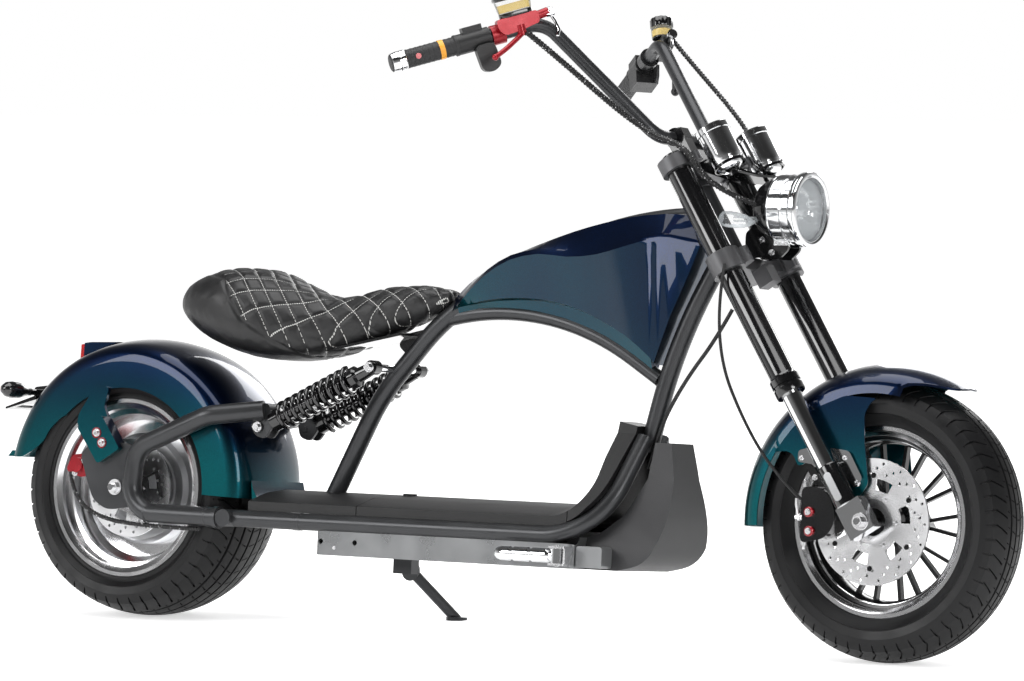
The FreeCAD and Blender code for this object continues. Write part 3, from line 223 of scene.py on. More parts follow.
def frontRimFinish():  # chrome lip and inner ring, black spokes and channel
    mix = recipe("frontRimFinish")
    radius, side = wheelRadius(mix, frontAxle)
    ring = (mix.between(radius, *rimBands["ringInside"]) * mix.between(radius, *rimBands["ringOutside"], 1.0, 0.0)
            * mix.between(side, *rimBands["ringSide"]))
    bright = mix.calc("MAXIMUM", mix.between(radius, *rimBands["lip"]), ring)
    return mix.surface(Base_Color=mix.blend(bright, softBlack, rimBands["bright"]), Metallic=bright,
                       Roughness=mix.between(bright, 0.0, 1.0, 0.20, 0.13) + mix.noise(9) * 0.03,
                       Normal=mix.grain(500, 0.00001))


def lampFinish():  # bright slotted shell, black stay
    mix = recipe("lampFinish")
    centre = inFrame(lampFace)
    x, y, z = mix.axes()
    off = (y - centre.y, z - centre.z)
    inside = mix.between(mix.calc("SQRT", off[0] * off[0] + off[1] * off[1]), *lampBands["shell"], 1.0, 0.0)
    shell = inside * mix.between(x, *(centre.x - reach for reach in lampBands["behind"]))
    return mix.surface(Base_Color=mix.blend(shell, softBlack, lampBands["bright"]), Metallic=shell,
                       Roughness=mix.patchy(mix.noise(40), 0.08, 0.14), Normal=mix.grain(300, 0.00001))


def leverFinish():  # red on the right, black on the left
    mix = recipe("leverFinish")
    middle = leaned(0, 0, 1.25).y
    left = mix.between(mix.axes()[1], middle - 0.01, middle + 0.01)
    cloud = mix.noise(40)
    return mix.surface(Base_Color=mix.blend(left, mix.blend(cloud, *reds), (0.020, 0.020, 0.021)), Metallic=0.3,
                       Roughness=mix.patchy(cloud, 0.24, 0.32), Normal=mix.grain(300, 0.00001))


def paint(name, dark, light, roughness, metallic=0.0, grain=900, depth=0.00004, coat=0.0):
    mix = recipe(name)
    worn = mix.noise(14, 4)
    return mix.surface(Base_Color=mix.blend(worn, dark, light), Metallic=metallic,
                       Roughness=mix.patchy(worn, roughness * 0.88, roughness * 1.12),
                       Coat_Weight=coat, Coat_Roughness=0.04, Normal=mix.grain(grain, depth))


def metal(name, dark, light, roughness, grain, depth):
    mix = recipe(name)
    cloud = mix.noise(9)
    return mix.surface(Base_Color=mix.blend(cloud, dark, light), Metallic=1.0,
                       Roughness=mix.patchy(cloud, roughness * 0.8, roughness * 1.25),
                       Normal=mix.grain(grain, depth, 3))


def rubber():
    mix = recipe("rubber")
    dust = mix.noise(18, 5, 0.6)
    return mix.surface(Base_Color=mix.blend(dust, (0.0035, 0.0035, 0.004), (0.008, 0.008, 0.0085)),
                       Roughness=mix.between(dust, 0.3, 0.75, 0.38, 0.52), Specular_IOR_Level=0.28,
                       Normal=mix.grain(700, 0.00008, 3))


def leather(mix):  # the hide's soft clouds and its fine cells
    return mix.noise(24), mix.between(mix.cells(420, "DISTANCE_TO_EDGE"), 0.0, 0.22)


def plainLeather():
    mix = recipe("seatLeather")
    soft, cells = leather(mix)
    return mix.surface(Base_Color=mix.blend(soft, softBlack, (0.011, 0.011, 0.0115)),
                       Roughness=mix.patchy(soft, 0.38, 0.50), Specular_IOR_Level=0.4, Normal=mix.bump(cells, 0.00012))


def quiltLeather():  # with dashes of thread along both families of lines
    mix = recipe("quiltLeather")
    a, b, height = (mix.add("ShaderNodeAttribute", {"attribute_name": name}, output="Fac")
                    for name in ("quiltA", "quiltB", "seamHeight"))

    def stitched(across, beside):
        off = mix.calc("ABSOLUTE", mix.calc("FRACT", across + 0.5) - 0.5)
        dash = mix.between(mix.calc("FRACT", beside * 7.0), 0.62, 0.72, 1.0, 0.0)
        return mix.between(off, 0.013, 0.022, 1.0, 0.0) * dash

    thread = mix.calc("MAXIMUM", stitched(a, b), stitched(b, a)) * mix.between(height, 4.0, 5.0)
    soft, cells = leather(mix)
    hide = mix.blend(soft, softBlack, (0.012, 0.012, 0.0125))
    return mix.surface(Base_Color=mix.blend(thread, hide, (0.62, 0.62, 0.60)),
                       Roughness=mix.patchy(soft, 0.36, 0.48), Specular_IOR_Level=0.45,
                       Normal=mix.bump(cells * 0.25 + thread * 2.5, 0.0003))


def texturedPlastic(name, dark, light, roughness, grain):
    mix = recipe(name)
    return mix.surface(Base_Color=mix.blend(mix.noise(12), dark, light), Roughness=roughness,
                       Specular_IOR_Level=0.35, Normal=mix.bump(mix.cells(grain), 0.00025, 0.7))


def lensPlastic(name, shade, roughness, solid):
    mix = recipe(name)
    gloss = mix.add("ShaderNodeFresnel", {}, {"IOR": 1.45})
    return mix.surface(Base_Color=mix.blend(mix.noise(30, 2), shade, tuple(0.9 * part for part in shade)),
                       Roughness=roughness, Alpha=gloss * (0.8 - solid) + solid, Normal=mix.grain(300, 0.00002))


def braid():  # black braid with pale flecks
    mix = recipe("hoseBraid")
    fleck = mix.between(mix.cells(210), 0.20, 0.27, 1.0, 0.0)
    return mix.surface(Base_Color=mix.blend(fleck, softBlack, (0.55, 0.55, 0.56)), Roughness=0.36,
                       Specular_IOR_Level=0.4, Normal=mix.grain(900, 0.0001))


finishes = {
    "teal_paint": tealPaint(),
    "frame_paint": paint("framePaint", (0.034, 0.035, 0.037), (0.052, 0.053, 0.056), roughness=0.32, metallic=0.6),
    "black_paint": paint("blackPaint", (0.003, 0.003, 0.0035), softBlack, roughness=0.14, grain=400, depth=0.00001,
                         coat=0.6),
    "clamp_grey": paint("clampGrey", (0.10, 0.10, 0.105), (0.15, 0.15, 0.155), roughness=0.42, metallic=0.8),
    "chrome": metal("chrome", *chromes, roughness=0.07, grain=120, depth=0.000004),
    "bare_steel": metal("bareSteel", (0.62, 0.62, 0.63), (0.78, 0.78, 0.79), roughness=0.28, grain=900, depth=0.00001),
    "cast_alloy": metal("castAlloy", (0.42, 0.43, 0.44), (0.58, 0.58, 0.59), roughness=0.36, grain=500, depth=0.00003),
    "box_grey": paint("boxGrey", (0.20, 0.205, 0.21), (0.26, 0.265, 0.27), roughness=0.34, metallic=0.6),
    "tyre": rubber(),
    "grip_rubber": texturedPlastic("gripRubber", (0.018, 0.018, 0.019), (0.028, 0.028, 0.029), 0.50, grain=900),
    "hose_rubber": texturedPlastic("hoseRubber", softBlack, (0.012, 0.012, 0.0125), 0.38, grain=900),
    "seat_leather": plainLeather(),
    "deck_plastic": texturedPlastic("deckPlastic", (0.009, 0.009, 0.0095), (0.015, 0.015, 0.0155), 0.45, grain=600),
    "shield_plastic": texturedPlastic("shieldPlastic", (0.022, 0.022, 0.0235), (0.034, 0.034, 0.036), 0.46, grain=700),
    "clear_lens": lensPlastic("clearLens", (0.60, 0.63, 0.65), roughness=0.02, solid=0.05),
    "red_lens": lensPlastic("redLens", (0.45, 0.010, 0.010), roughness=0.12, solid=0.92),
    "red_paint": paint("redPaint", *reds, roughness=0.25, metallic=0.3, grain=400, depth=0.00001, coat=0.5),
    "battery_case": paint("batteryCase", (0.012, 0.012, 0.013), (0.020, 0.020, 0.021), roughness=0.5),
}
nodeFinish = {  # nodes that show more than their slot's plain finish
    "front_rim": frontRimFinish(), "headlight": lampFinish(), "brake_levers": leverFinish(),
    "brake_controls": texturedPlastic("controlPlastic", (0.010, 0.010, 0.0105), (0.016, 0.016, 0.0165), 0.36,
                                      grain=900),
    "rear_rim": metal("polishedAlloy", (0.70, 0.70, 0.71), (0.84, 0.84, 0.85), roughness=0.16, grain=500,
                      depth=0.00001),
    "gauges": metal("gaugeChrome", *chromes, roughness=0.13, grain=300, depth=0.000005),
    "battery_box": paint("brushedBox", (0.22, 0.225, 0.23), (0.30, 0.305, 0.31), roughness=0.30, metallic=0.85),
}
braidFinish = braid()
amberBand = paint("amberBand", (0.72, 0.30, 0.02), (0.85, 0.38, 0.03), roughness=0.4)
brakeFluid = paint("brakeFluid", (0.78, 0.58, 0.16), (0.86, 0.66, 0.22), roughness=0.35)


def link(name, mesh, body):
    piece = bpy.data.objects.new(name, mesh)
    bpy.context.scene.collection.objects.link(piece)
    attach(piece, body)
    return piece


def evaluated(piece):
    return bpy.data.meshes.new_from_object(piece.evaluated_get(bpy.context.evaluated_depsgraph_get()))


class Grower:  # a Geometry Nodes tree with named inputs: its numbers and a finish
    def __init__(self, name, numbers):
        tree = bpy.data.node_groups.new(name, "GeometryNodeTree")
        kinds = {"Geometry": "Geometry", **{label: "Float" for label in numbers}, "Finish": "Material"}
        new = tree.interface.new_socket
        self.sockets = {label: new(label, in_out="INPUT", socket_type="NodeSocket" + kind).identifier
                        for label, kind in kinds.items()}
        new("Geometry", in_out="OUTPUT", socket_type="NodeSocketGeometry")
        self.mix = Recipe(None, tree)
        self.source = tree.nodes.new("NodeGroupInput")

    def value(self, label):
        return Wire(self.mix, self.source.outputs[label])

    def end(self, geometry):
        self.mix.add("NodeGroupOutput", {}, {0: geometry})
        return self

    def close(self, geometry):
        solid = self.mix.add("GeometryNodeRealizeInstances", {}, {0: geometry})
        dressed = self.mix.add("GeometryNodeSetMaterial", {}, {"Geometry": solid, "Material": self.value("Finish")})
        return self.end(dressed)

    def copies(self, shape, **options):  # the shape at every point, turned to the point's own way
        way = self.mix.add("GeometryNodeInputNamedAttribute", {"data_type": "FLOAT_VECTOR"}, {"Name": "way"})
        turn = self.mix.add("FunctionNodeAlignRotationToVector", {"axis": "Z"}, {"Vector": way})
        return self.mix.add("GeometryNodeInstanceOnPoints", {}, {"Points": self.value("Geometry"), "Instance": shape,
                                                                 "Rotation": turn, **options})

    def put(self, piece, values):
        modifier = piece.modifiers.new("grow", "NODES")
        modifier.node_group = self.mix.tree
        for label, value in values.items():
            modifier[self.sockets[label]] = value

    def grow(self, name, base, values, body):
        holder = bpy.data.objects.new(name + "Base", base)
        bpy.context.scene.collection.objects.link(holder)
        self.put(holder, values)
        mesh = evaluated(holder)
        bpy.data.objects.remove(holder)
        return link(name, mesh, body)


def smoothTree():  # welds a CAD mesh's loose triangles and keeps edges sharper than the angle
    grower = Grower("smoothByAngle", ["Sharp angle"])
    mix = grower.mix
    welded = mix.add("GeometryNodeMergeByDistance", {}, {"Geometry": grower.value("Geometry"), "Distance": 0.00001})
    smooth = mix.add("GeometryNodeSetShadeSmooth", {}, {"Geometry": welded, "Shade Smooth": True})
    sharper = mix.add("FunctionNodeCompare", {"operation": "GREATER_THAN"},
                      {"A": mix.add("GeometryNodeInputMeshEdgeAngle"), "B": grower.value("Sharp angle")})
    return grower.end(mix.add("GeometryNodeSetShadeSmooth", {"domain": "EDGE"},
                              {"Geometry": smooth, "Selection": sharper, "Shade Smooth": False}))


smoother = smoothTree()
for name, node in nodes.items():
    node.data.materials.clear()
    node.data.materials.append(nodeFinish.get(name) or finishes[slotOf[name]])
    smoother.put(node, {"Sharp angle": math.radians(32)})
print("finishes on", len(nodes), "CAD nodes")


# Modelling helpers: everything below is laid out in millimetres on the upright vehicle
outRight, outLeft, ahead = at(0, -1, 0), at(0, 1, 0), at(1, 0, 0)
forkUp = (onFork(1, 0, 0) - onFork(0, 0, 0)).normalized()
forkAhead = (onFork(0, 1, 0) - onFork(0, 0, 0)).normalized()
gripStart = onFork(1085, -234, -387)
gripWay = (onFork(1058, -29.5, -205) - gripStart).normalized()
gripBack = at(0, 0, 1).cross(gripWay).normalized()
gripAbove = gripWay.cross(gripBack)


def mirrorY(point):
    return at(point.x, -point.y, point.z)


def onGrip(x, y, z):  # on the right end of the bar: x runs inward along it, -y is ahead of it
    return gripStart + gripWay * x + gripBack * y + gripAbove * z


def onLeftGrip(x, y, z):
    return mirrorY(onGrip(x, y, z))


gripSides = ((onGrip, gripWay), (onLeftGrip, mirrorY(gripWay)))


def circle(centre, side, other, radius, sides):
    angles = [math.tau * step / sides for step in range(sides)]
    return [centre + (side * math.cos(angle) + other * math.sin(angle)) * radius for angle in angles]


class Kit:  # gathers the points and faces of one piece
    weldGap = 0.000002
    bevelAngle = 40

    def __init__(self):
        self.points, self.faces = [], []

    def rings(self, rings, closed=False):
        sides = len(rings[0])
        faces = []
        for ring in range(len(rings) if closed else len(rings) - 1):
            after = (ring + 1) % len(rings)
            for step in range(sides):
                following = (step + 1) % sides
                faces.append((ring * sides + step, ring * sides + following,
                              after * sides + following, after * sides + step))
        if not closed:
            faces.append(tuple(reversed(range(sides))))
            faces.append(tuple((len(rings) - 1) * sides + step for step in range(sides)))
        base = len(self.points)
        self.points += [point for ring in rings for point in ring]
        self.faces += [tuple(base + corner for corner in face) for face in faces]

    def turned(self, start, way, profile, sides=32, closed=False):  # (distance, radius) pairs turned about a line
        run = Vector(way).normalized()
        side = run.cross(at(0, 1, 0) if abs(run.y) < 0.9 else at(1, 0, 0)).normalized()
        other = run.cross(side)
        self.rings([circle(start + run * along, side, other, radius, sides) for along, radius in profile], closed)

    def collar(self, centre, way, half, flat, radius, crown, sides=36):  # a low ring with sloping edges
        self.turned(centre, way, [(-half, radius), (-flat, crown), (flat, crown), (half, radius)], sides, True)

    def tube(self, path, radius, sides=12):
        side = None
        rings = []
        for number, point in enumerate(path):
            run = (path[min(number + 1, len(path) - 1)] - path[max(number - 1, 0)]).normalized()
            guess = side or (at(0, 0, 1) if abs(run.z) < 0.9 else at(1, 0, 0))
            side = (guess - run * guess.dot(run)).normalized()
            rings.append(circle(point, side, run.cross(side), radius, sides))
        self.rings(rings)

    def prism(self, outline, way):  # a closed outline of points pushed along a line
        self.rings([list(outline), [point + Vector(way) for point in outline]])

    def piece(self, name, body, slot, look=None, bevel=0.0, sharp=35):  # the slot's own finish, or another look
        mesh = bpy.data.meshes.new(name)
        mesh.from_pydata([inFrame(point) for point in self.points], [], self.faces)
        work = bmesh.new()
        work.from_mesh(mesh)
        bmesh.ops.remove_doubles(work, verts=work.verts, dist=self.weldGap)
        bmesh.ops.recalc_face_normals(work, faces=work.faces)
        work.to_mesh(mesh)
        work.free()
        mesh.materials.append(look or finishes[slot])
        made = link(name, mesh, body)
        if bevel:
            rounding = made.modifiers.new("bevel", "BEVEL")
            rounding.width = bevel / 1000
            rounding.segments = 2
            rounding.limit_method = "ANGLE"
            rounding.angle_limit = math.radians(self.bevelAngle)
        smoother.put(made, {"Sharp angle": math.radians(sharp)})
        return made


def rounded(corners, radius, steps=4):  # a flat outline of (a, b) points with rounded corners
    made = []
    for number, corner in enumerate(corners):
        here = Vector(corner)
        before = Vector(corners[number - 1]) - here
        after = Vector(corners[(number + 1) % len(corners)]) - here
        cut = min(radius, before.length * 0.45, after.length * 0.45)
        first, last = here + before.normalized() * cut, here + after.normalized() * cut
        for step in range(steps + 1):
            share = step / steps
            made.append(first * (1 - share) ** 2 + here * 2 * share * (1 - share) + last * share ** 2)
    return made


def seeds(spots):  # a mesh of points that each know which way they face and how large they are
    mesh = bpy.data.meshes.new("seeds")
    mesh.from_pydata([inFrame(spot[0]) for spot in spots], [], [])
    for label, kind in (("way", "FLOAT_VECTOR"), ("size", "FLOAT")):
        mesh.attributes.new(label, kind, "POINT")
    way, size = mesh.attributes["way"], mesh.attributes["size"]
    for number, (place, outward, radius) in enumerate(spots):
        way.data[number].vector = (leaned(*(place + outward)) - leaned(*place)).normalized()
        size.data[number].value = radius / 1000
    return mesh


def boltTree(name, corners, socket):  # a washer and a head with flats or with a hexagon socket
    grower = Grower(name, ["Head height", "Washer"])
    mix = grower.mix
    tall = grower.value("Head height")

    def cylinder(vertices, radius, depth):
        return mix.add("GeometryNodeMeshCylinder", {}, {"Vertices": vertices, "Radius": radius, "Depth": depth})

    def raised(shape, rise):
        lift = mix.add("ShaderNodeCombineXYZ", {}, {2: rise})
        return mix.add("GeometryNodeTransform", {}, {"Geometry": shape, "Translation": lift})

    head = cylinder(corners, 1.0, tall)
    if socket:
        key = raised(cylinder(6, 0.52, tall), tall * 0.5)
        head = mix.add("GeometryNodeMeshBoolean", {"operation": "DIFFERENCE"}, {"Mesh 1": head, "Mesh 2": key})
    joined = mix.tree.nodes.new("GeometryNodeJoinGeometry")
    for part in (raised(head, tall * 0.5 + 0.2), cylinder(24, grower.value("Washer"), 0.4)):
        mix.tree.links.new(part.socket, joined.inputs[0])
    size = mix.add("GeometryNodeInputNamedAttribute", {"data_type": "FLOAT"}, {"Name": "size"})
    return grower.close(grower.copies(Wire(mix, joined.outputs[0]), Scale=size))


def coilTree():  # a wire wound about each point's way
    grower = Grower("coils", ["Turns", "Coil radius", "Length", "Wire radius"])
    mix = grower.mix
    radius = grower.value("Coil radius")
    spiral = mix.add("GeometryNodeCurveSpiral", {}, {
        "Resolution": 28, "Rotations": grower.value("Turns"), "Start Radius": radius, "End Radius": radius,
        "Height": grower.value("Length")})
    section = mix.add("GeometryNodeCurvePrimitiveCircle", {}, {"Resolution": 12, "Radius": grower.value("Wire radius")})
    wire = mix.add("GeometryNodeCurveToMesh", {}, {"Curve": spiral, "Profile Curve": section, "Fill Caps": True})
    return grower.close(grower.copies(wire))


def wrapTree():  # a strip wound round a path
    grower = Grower("wraps", ["Pitch", "Wrap radius", "Strip radius", "Step"])
    mix = grower.mix
    line = mix.add("GeometryNodeMeshToCurve", {}, {"Mesh": grower.value("Geometry")})
    fine = mix.add("GeometryNodeResampleCurve", {"mode": "LENGTH"}, {"Curve": line, "Length": grower.value("Step")})
    angle = mix.add("GeometryNodeSplineParameter", output="Length") / grower.value("Pitch") * math.tau
    normal = mix.add("GeometryNodeInputNormal")
    other = mix.add("ShaderNodeVectorMath", {"operation": "CROSS_PRODUCT"},
                    {0: mix.add("GeometryNodeInputTangent"), 1: normal})
    radius = grower.value("Wrap radius")
    out, over = (mix.scaled(way, mix.calc(part, angle) * radius) for way, part in ((normal, "COSINE"), (other, "SINE")))
    offset = mix.add("ShaderNodeVectorMath", {"operation": "ADD"}, {0: out, 1: over})
    wound = mix.add("GeometryNodeSetPosition", {}, {"Geometry": fine, "Offset": offset})
    section = mix.add("GeometryNodeCurvePrimitiveCircle", {}, {"Resolution": 6, "Radius": grower.value("Strip radius")})
    return grower.close(mix.add("GeometryNodeCurveToMesh", {}, {"Curve": wound, "Profile Curve": section,
                                                                "Fill Caps": True}))


hexBolts = boltTree("hexBolts", 6, False)
socketBolts = boltTree("socketBolts", 20, True)
coils = coilTree()
wraps = wrapTree()


def fasten(name, body, tall, washer, spots, tree=socketBolts, finish="bare_steel"):
    made = tree.grow(name, seeds(spots), {"Head height": tall, "Washer": washer, "Finish": finishes[finish]}, body)


print("helpers ready")


# Tank floor: closes the shell down to the tube under it
tankFloor = {"width": 19.0, "tubeWidth": 11.5, "overShell": 3.0, "intoTube": 5.5, "stations": [  # x, shell, tube
    (668, 592, 588), (680, 595, 592), (710, 600, 601), (740, 606, 603), (770, 609, 603), (800, 610, 602),
    (830, 610, 599), (860, 608, 594), (890, 603, 588), (920, 596, 579), (950, 586, 569), (980, 573, 557),
    (1010, 559, 542), (1040, 541, 525), (1066, 522, 509), (1078, 516, 501)]}
floorKit = Kit()
floorRings = []
for x, shell, tube in tankFloor["stations"]:
    upper, lower = shell + tankFloor["overShell"], tube - tankFloor["intoTube"]
    floorRings.append([at(x, -tankFloor["width"], upper), at(x, -tankFloor["tubeWidth"], lower),
                       at(x, tankFloor["tubeWidth"], lower), at(x, tankFloor["width"], upper)])
floorKit.rings(floorRings)
floorKit.piece("tankFloor", "chassis", "teal_paint", sharp=50)


# Tyres: a grid whose columns follow the slant of the cross grooves
tyres = {
    "front_tyre": {"body": "front_wheel", "centre": frontAxle, "radius": 243.5, "width": 130.0, "crown": 90.0,
                   "bead": 48.0, "pitches": 56, "rounds": (-21, -7, 7, 21), "roundWidth": 3.2, "depth": 4.0,
                   "slant": 30.0, "shoulder": 30.0},
    "rear_tyre": {"body": "rear_wheel", "centre": rearAxle, "radius": 238.5, "width": 210.0, "crown": 250.0,
                  "bead": 95.0, "pitches": 50, "rounds": (-52, -26, 0, 26, 52), "roundWidth": 4.5, "depth": 4.5,
                  "slant": 42.0, "shoulder": 62.0},
}
rimRadius = 166.0
columnCuts = (0.0, 0.02, 0.13, 0.15, 0.38, 0.50, 0.515, 0.56, 0.575, 0.80)
rowCuts = {  # the columns that each kind of row is cut in, and how deep
    "land": ((), 0.0), "round": (range(len(columnCuts)), 1.0), "shoulder": ((1, 2), 0.9), "sipe": ((6, 7), 0.7)}


def blockRow(low, high, slope):  # a row of blocks with a fine cut across each
    return {(low, "land"), (low + slope, "sipe"), (high - slope, "sipe"), (high, "land")}


def treadTyre(node, tyre):
    half, radius, shoulder, rounds = tyre["width"] / 2, tyre["radius"], tyre["shoulder"], tyre["rounds"]
    wall = radius - rimRadius
    edge = half - 0.2 * wall

    def crownAt(y):
        return radius - tyre["crown"] + math.sqrt(tyre["crown"] ** 2 - y ** 2)

    grooveHalf = tyre["roundWidth"] / 2
    marks = {(-shoulder, "land"), (shoulder, "land")}
    for middle in rounds:
        for offset, kind in ((grooveHalf, "round"), (grooveHalf + 0.5, "land")):
            marks.update({(round(middle - offset, 3), kind), (round(middle + offset, 3), kind)})
    for y in (edge, (edge + shoulder) / 2, shoulder + 0.6):
        marks.update({(-y, "shoulder"), (y, "shoulder")})
    for first, second in zip(rounds, rounds[1:]):
        middle, reach = (first + second) / 2, (second - first) * 0.30
        marks.update(blockRow(middle - reach, middle + reach, 0.4) | {(middle, "sipe")})
    outer = max(rounds) + grooveHalf + 1.0
    middle, reach = (outer + shoulder) / 2, (shoulder - outer) * 0.36
    marks.update(blockRow(middle - reach, middle + reach, 0.5) | blockRow(-middle - reach, reach - middle, 0.5))
    top = crownAt(edge)
    bead = tyre["bead"]
    wallRows = [  # across and from the axle, down to the bead
        (half - 0.11 * wall, top - 0.055 * wall), (half - 0.055 * wall, top - 0.15 * wall),
        (half - 0.03 * wall, top - 0.21 * wall), (half, radius - 0.5 * wall), (half + 0.4, radius - 0.52 * wall),
        (half - 0.2, radius - 0.54 * wall), (half - 0.012 * wall, rimRadius + 0.38 * wall),
        (half - 0.035 * wall, rimRadius + 0.29 * wall), (half - 0.02 * wall, rimRadius + 0.27 * wall),
        (half - 0.05 * wall, rimRadius + 0.24 * wall), (half - 0.13 * wall, rimRadius + 0.14 * wall),
        (bead + 3.2, 171.0), (bead + 1.6, 167.2), (bead - 5.3, 166.3), (bead - 5.3, 156.0)]
    sides = [(y, reach, "shoulder" if number < 2 else "land") for number, (y, reach) in enumerate(wallRows)]
    rows = ([(-y, reach, kind) for y, reach, kind in reversed(sides)]
            + [(y, crownAt(y), kind) for y, kind in sorted(marks)] + sides)
    rings = []
    for pitch in range(tyre["pitches"]):
        for column, cut in enumerate(columnCuts):
            ring = []
            for y, reach, kind in rows:
                shift = tyre["slant"] * min(abs(y) / edge, 1.0) ** 1.3 / radius
                angle = math.tau * (pitch + cut) / tyre["pitches"] + shift
                columns, share = rowCuts[kind]
                low = reach - (tyre["depth"] * share if column in columns else 0.0)
                ring.append(tyre["centre"] + at(low * math.cos(angle), y, low * math.sin(angle)))
            rings.append(ring)
    kit = Kit()
    kit.rings(rings, closed=True)
    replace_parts(kit.piece(node + "Tread", tyre["body"], "tyre", sharp=28), node)


for node, tyre in tyres.items():
    treadTyre(node, tyre)
print("tyres ready")


# Shock springs
springs = {"foot": at(293, -76, 363), "head": at(529, -76, 480), "from": 46, "until": 52, "turns": 9.5,
           "coilRadius": 23.6, "wire": 4.3}
springRun = springs["head"] - springs["foot"]
springWay = springRun.normalized()
springStart = springs["foot"] + springWay * (springs["from"] + springs["wire"] / 2)
springStarts = (springStart, mirrorY(springStart))
springLength = springRun.length - springs["from"] - springs["until"] - springs["wire"]
springPiece = coils.grow("springCoils", seeds([(start, springWay, 1) for start in springStarts]),
                         {"Turns": springs["turns"], "Coil radius": springs["coilRadius"] / 1000,
                          "Length": springLength / 1000, "Wire radius": springs["wire"] / 1000,
                          "Finish": finishes["black_paint"]}, "chassis")
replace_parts(springPiece, "shock_springs")
core = Kit()
for start in springStarts:
    core.turned(start - springWay * 4, springWay, [
        (0, 9), (2, 10.5), (springLength * 0.55, 10.5), (springLength * 0.57, 14), (springLength - 2, 14),
        (springLength, 9)])
core.piece("shockRods", "chassis", "black_paint")
print("springs ready")


# Bolts, by body and finish: place, way out, head radius
def ringOf(centre, y, radius, count, head, first=0.0):
    angles = [math.tau * (step + first) / count for step in range(count)]
    return [(at(centre.x + radius * math.cos(angle), y, centre.z + radius * math.sin(angle)),
             outRight if y < 0 else outLeft, head) for angle in angles]


def bothSides(x, y, z, radius):
    return [(at(x, -y, z), outRight, radius), (at(x, y, z), outLeft, radius)]


fenderBracket = (at(-39, -140, 339), at(-26, -140, 321))
boltSets = {  # name: body, head height, washer, spots, and any other kind or finish
    "chassisBolts": ("chassis", 1.1, 1.5, [
        (fenderBracket[0], outRight, 5.0), (fenderBracket[1], outRight, 5.0), (at(-86, -112, 285), outRight, 3.8),
        (at(-105, -112, 262), outRight, 3.8), (at(498, -132, 149), outRight, 2.2)]),
    "frameNuts": ("chassis", 1.0, 1.35, bothSides(293, 96, 363, 7.0) + bothSides(529, 92, 480, 7.0), hexBolts),
    "discBolts": ("front_wheel", 0.7, 1.3, ringOf(frontAxle, -76.2, 45, 6, 3.6)),
    "discRivets": ("front_wheel", 0.35, 1.4, ringOf(frontAxle, -76.1, 80.5, 6, 3.4, 0.5), socketBolts, "black_paint"),
    "rearDiscBolts": ("rear_wheel", 0.7, 1.3, ringOf(rearAxle, -82.2, 30.5, 5, 3.2)),
    "motorBolts": ("rear_wheel", 0.7, 1.3, ringOf(rearAxle, 49.2, 70.5, 8, 3.2)),
    "fenderBolts": ("steering", 0.8, 1.6, [
        spot for x, z in ((1516, 352), (1541, 310), (1431, 349)) for spot in bothSides(x, 86.4, z, 4.2)]),
    "caliperBolts": ("steering", 1.0, 1.4, [
        (at(1457, -84.2, 316), outRight, 3.8), (at(1498, -84.2, 228), outRight, 3.8)]),
    "forkBolts": ("steering", 1.0, 1.5, bothSides(frontAxle.x, 119.2, frontAxle.z, 10.0), hexBolts),
    "axleNuts": ("chassis", 0.7, 1.35, bothSides(rearAxle.x, 127.7, rearAxle.z, 11.0), hexBolts),
}
for name, facts in boltSets.items():
    fasten(name, *facts)
redRings = Kit()
for spot in fenderBracket:
    redRings.turned(spot, outRight, [(0, 7.6), (1.6, 10.0), (0, 10.0)], 28, True)
redRings.piece("bracketRings", "chassis", "red_paint")
caliperRings = Kit()
for spot in (at(1463, -110, 256), at(1465, -110, 223)):
    caliperRings.turned(spot, outRight, [(-1, 0.3), (-1, 9.0), (5, 9.0), (6.5, 7.5), (6.5, 0.3)], 28)
caliperRings.piece("caliperPistons", "steering", "red_paint")
fasten("pistonBolts", "steering", 0.5, 1.3, [
    (at(1463, -116.6, 256), outRight, 4.4), (at(1465, -116.6, 223), outRight, 4.4)])
caliperFittings = Kit()
for start, way, profile, sides in (  # hose union, its fellow below, adjuster
        (at(1450, -106, 299), at(0, 0, 1), [(0, 3.6), (5, 3.6), (5.5, 2.2), (11, 2.2), (12, 3.0), (14, 2.4)], 16),
        (at(1452, -106, 203), at(0, 0, -1), [(0, 3.6), (5, 3.6), (5.5, 2.2), (9, 2.2), (10, 3.0), (12, 2.4)], 16),
        (at(1449, -108, 246), -ahead, [(0, 5.0), (3, 5.0), (3.5, 6.6), (8, 6.6), (8.5, 4.2), (14, 4.2)], 24)):
    caliperFittings.turned(start, way, profile, sides)
caliperFittings.tube([at(1440, -108, 248), at(1439, -110, 258), at(1437, -111, 268), at(1437, -111, 279)], 2.6)
caliperFittings.piece("caliperFittings", "steering", "bare_steel")
print("bolts ready")


# Weld rings, deck lock
welds = Kit()
for x in (80, 216):
    for y in (-131.5, 131.5):
        welds.collar(at(x, y, 193.6), ahead, 2.4, 1.2, 17.6, 18.8)
for y in (-125, 125):
    welds.collar(at(420, y, 193), ahead, 2.0, 1.0, 15.2, 16.3)
welds.piece("weldRings", "chassis", "frame_paint")
lock = Kit()
lock.turned(at(572, 0, 248.5), at(0, 0, 1), [(0, 0.3), (0, 12.5), (2.4, 12.5), (3.2, 11.5), (3.2, 8.0), (2.2, 7.4),
                                             (2.2, 0.3)], 36)
lock.prism([at(568, -0.9, 250.8), at(576, -0.9, 250.8), at(576, 0.9, 250.8), at(568, 0.9, 250.8)], (0, 0, 0.6))
lock.piece("deckLock", "deck_lid", "chrome")


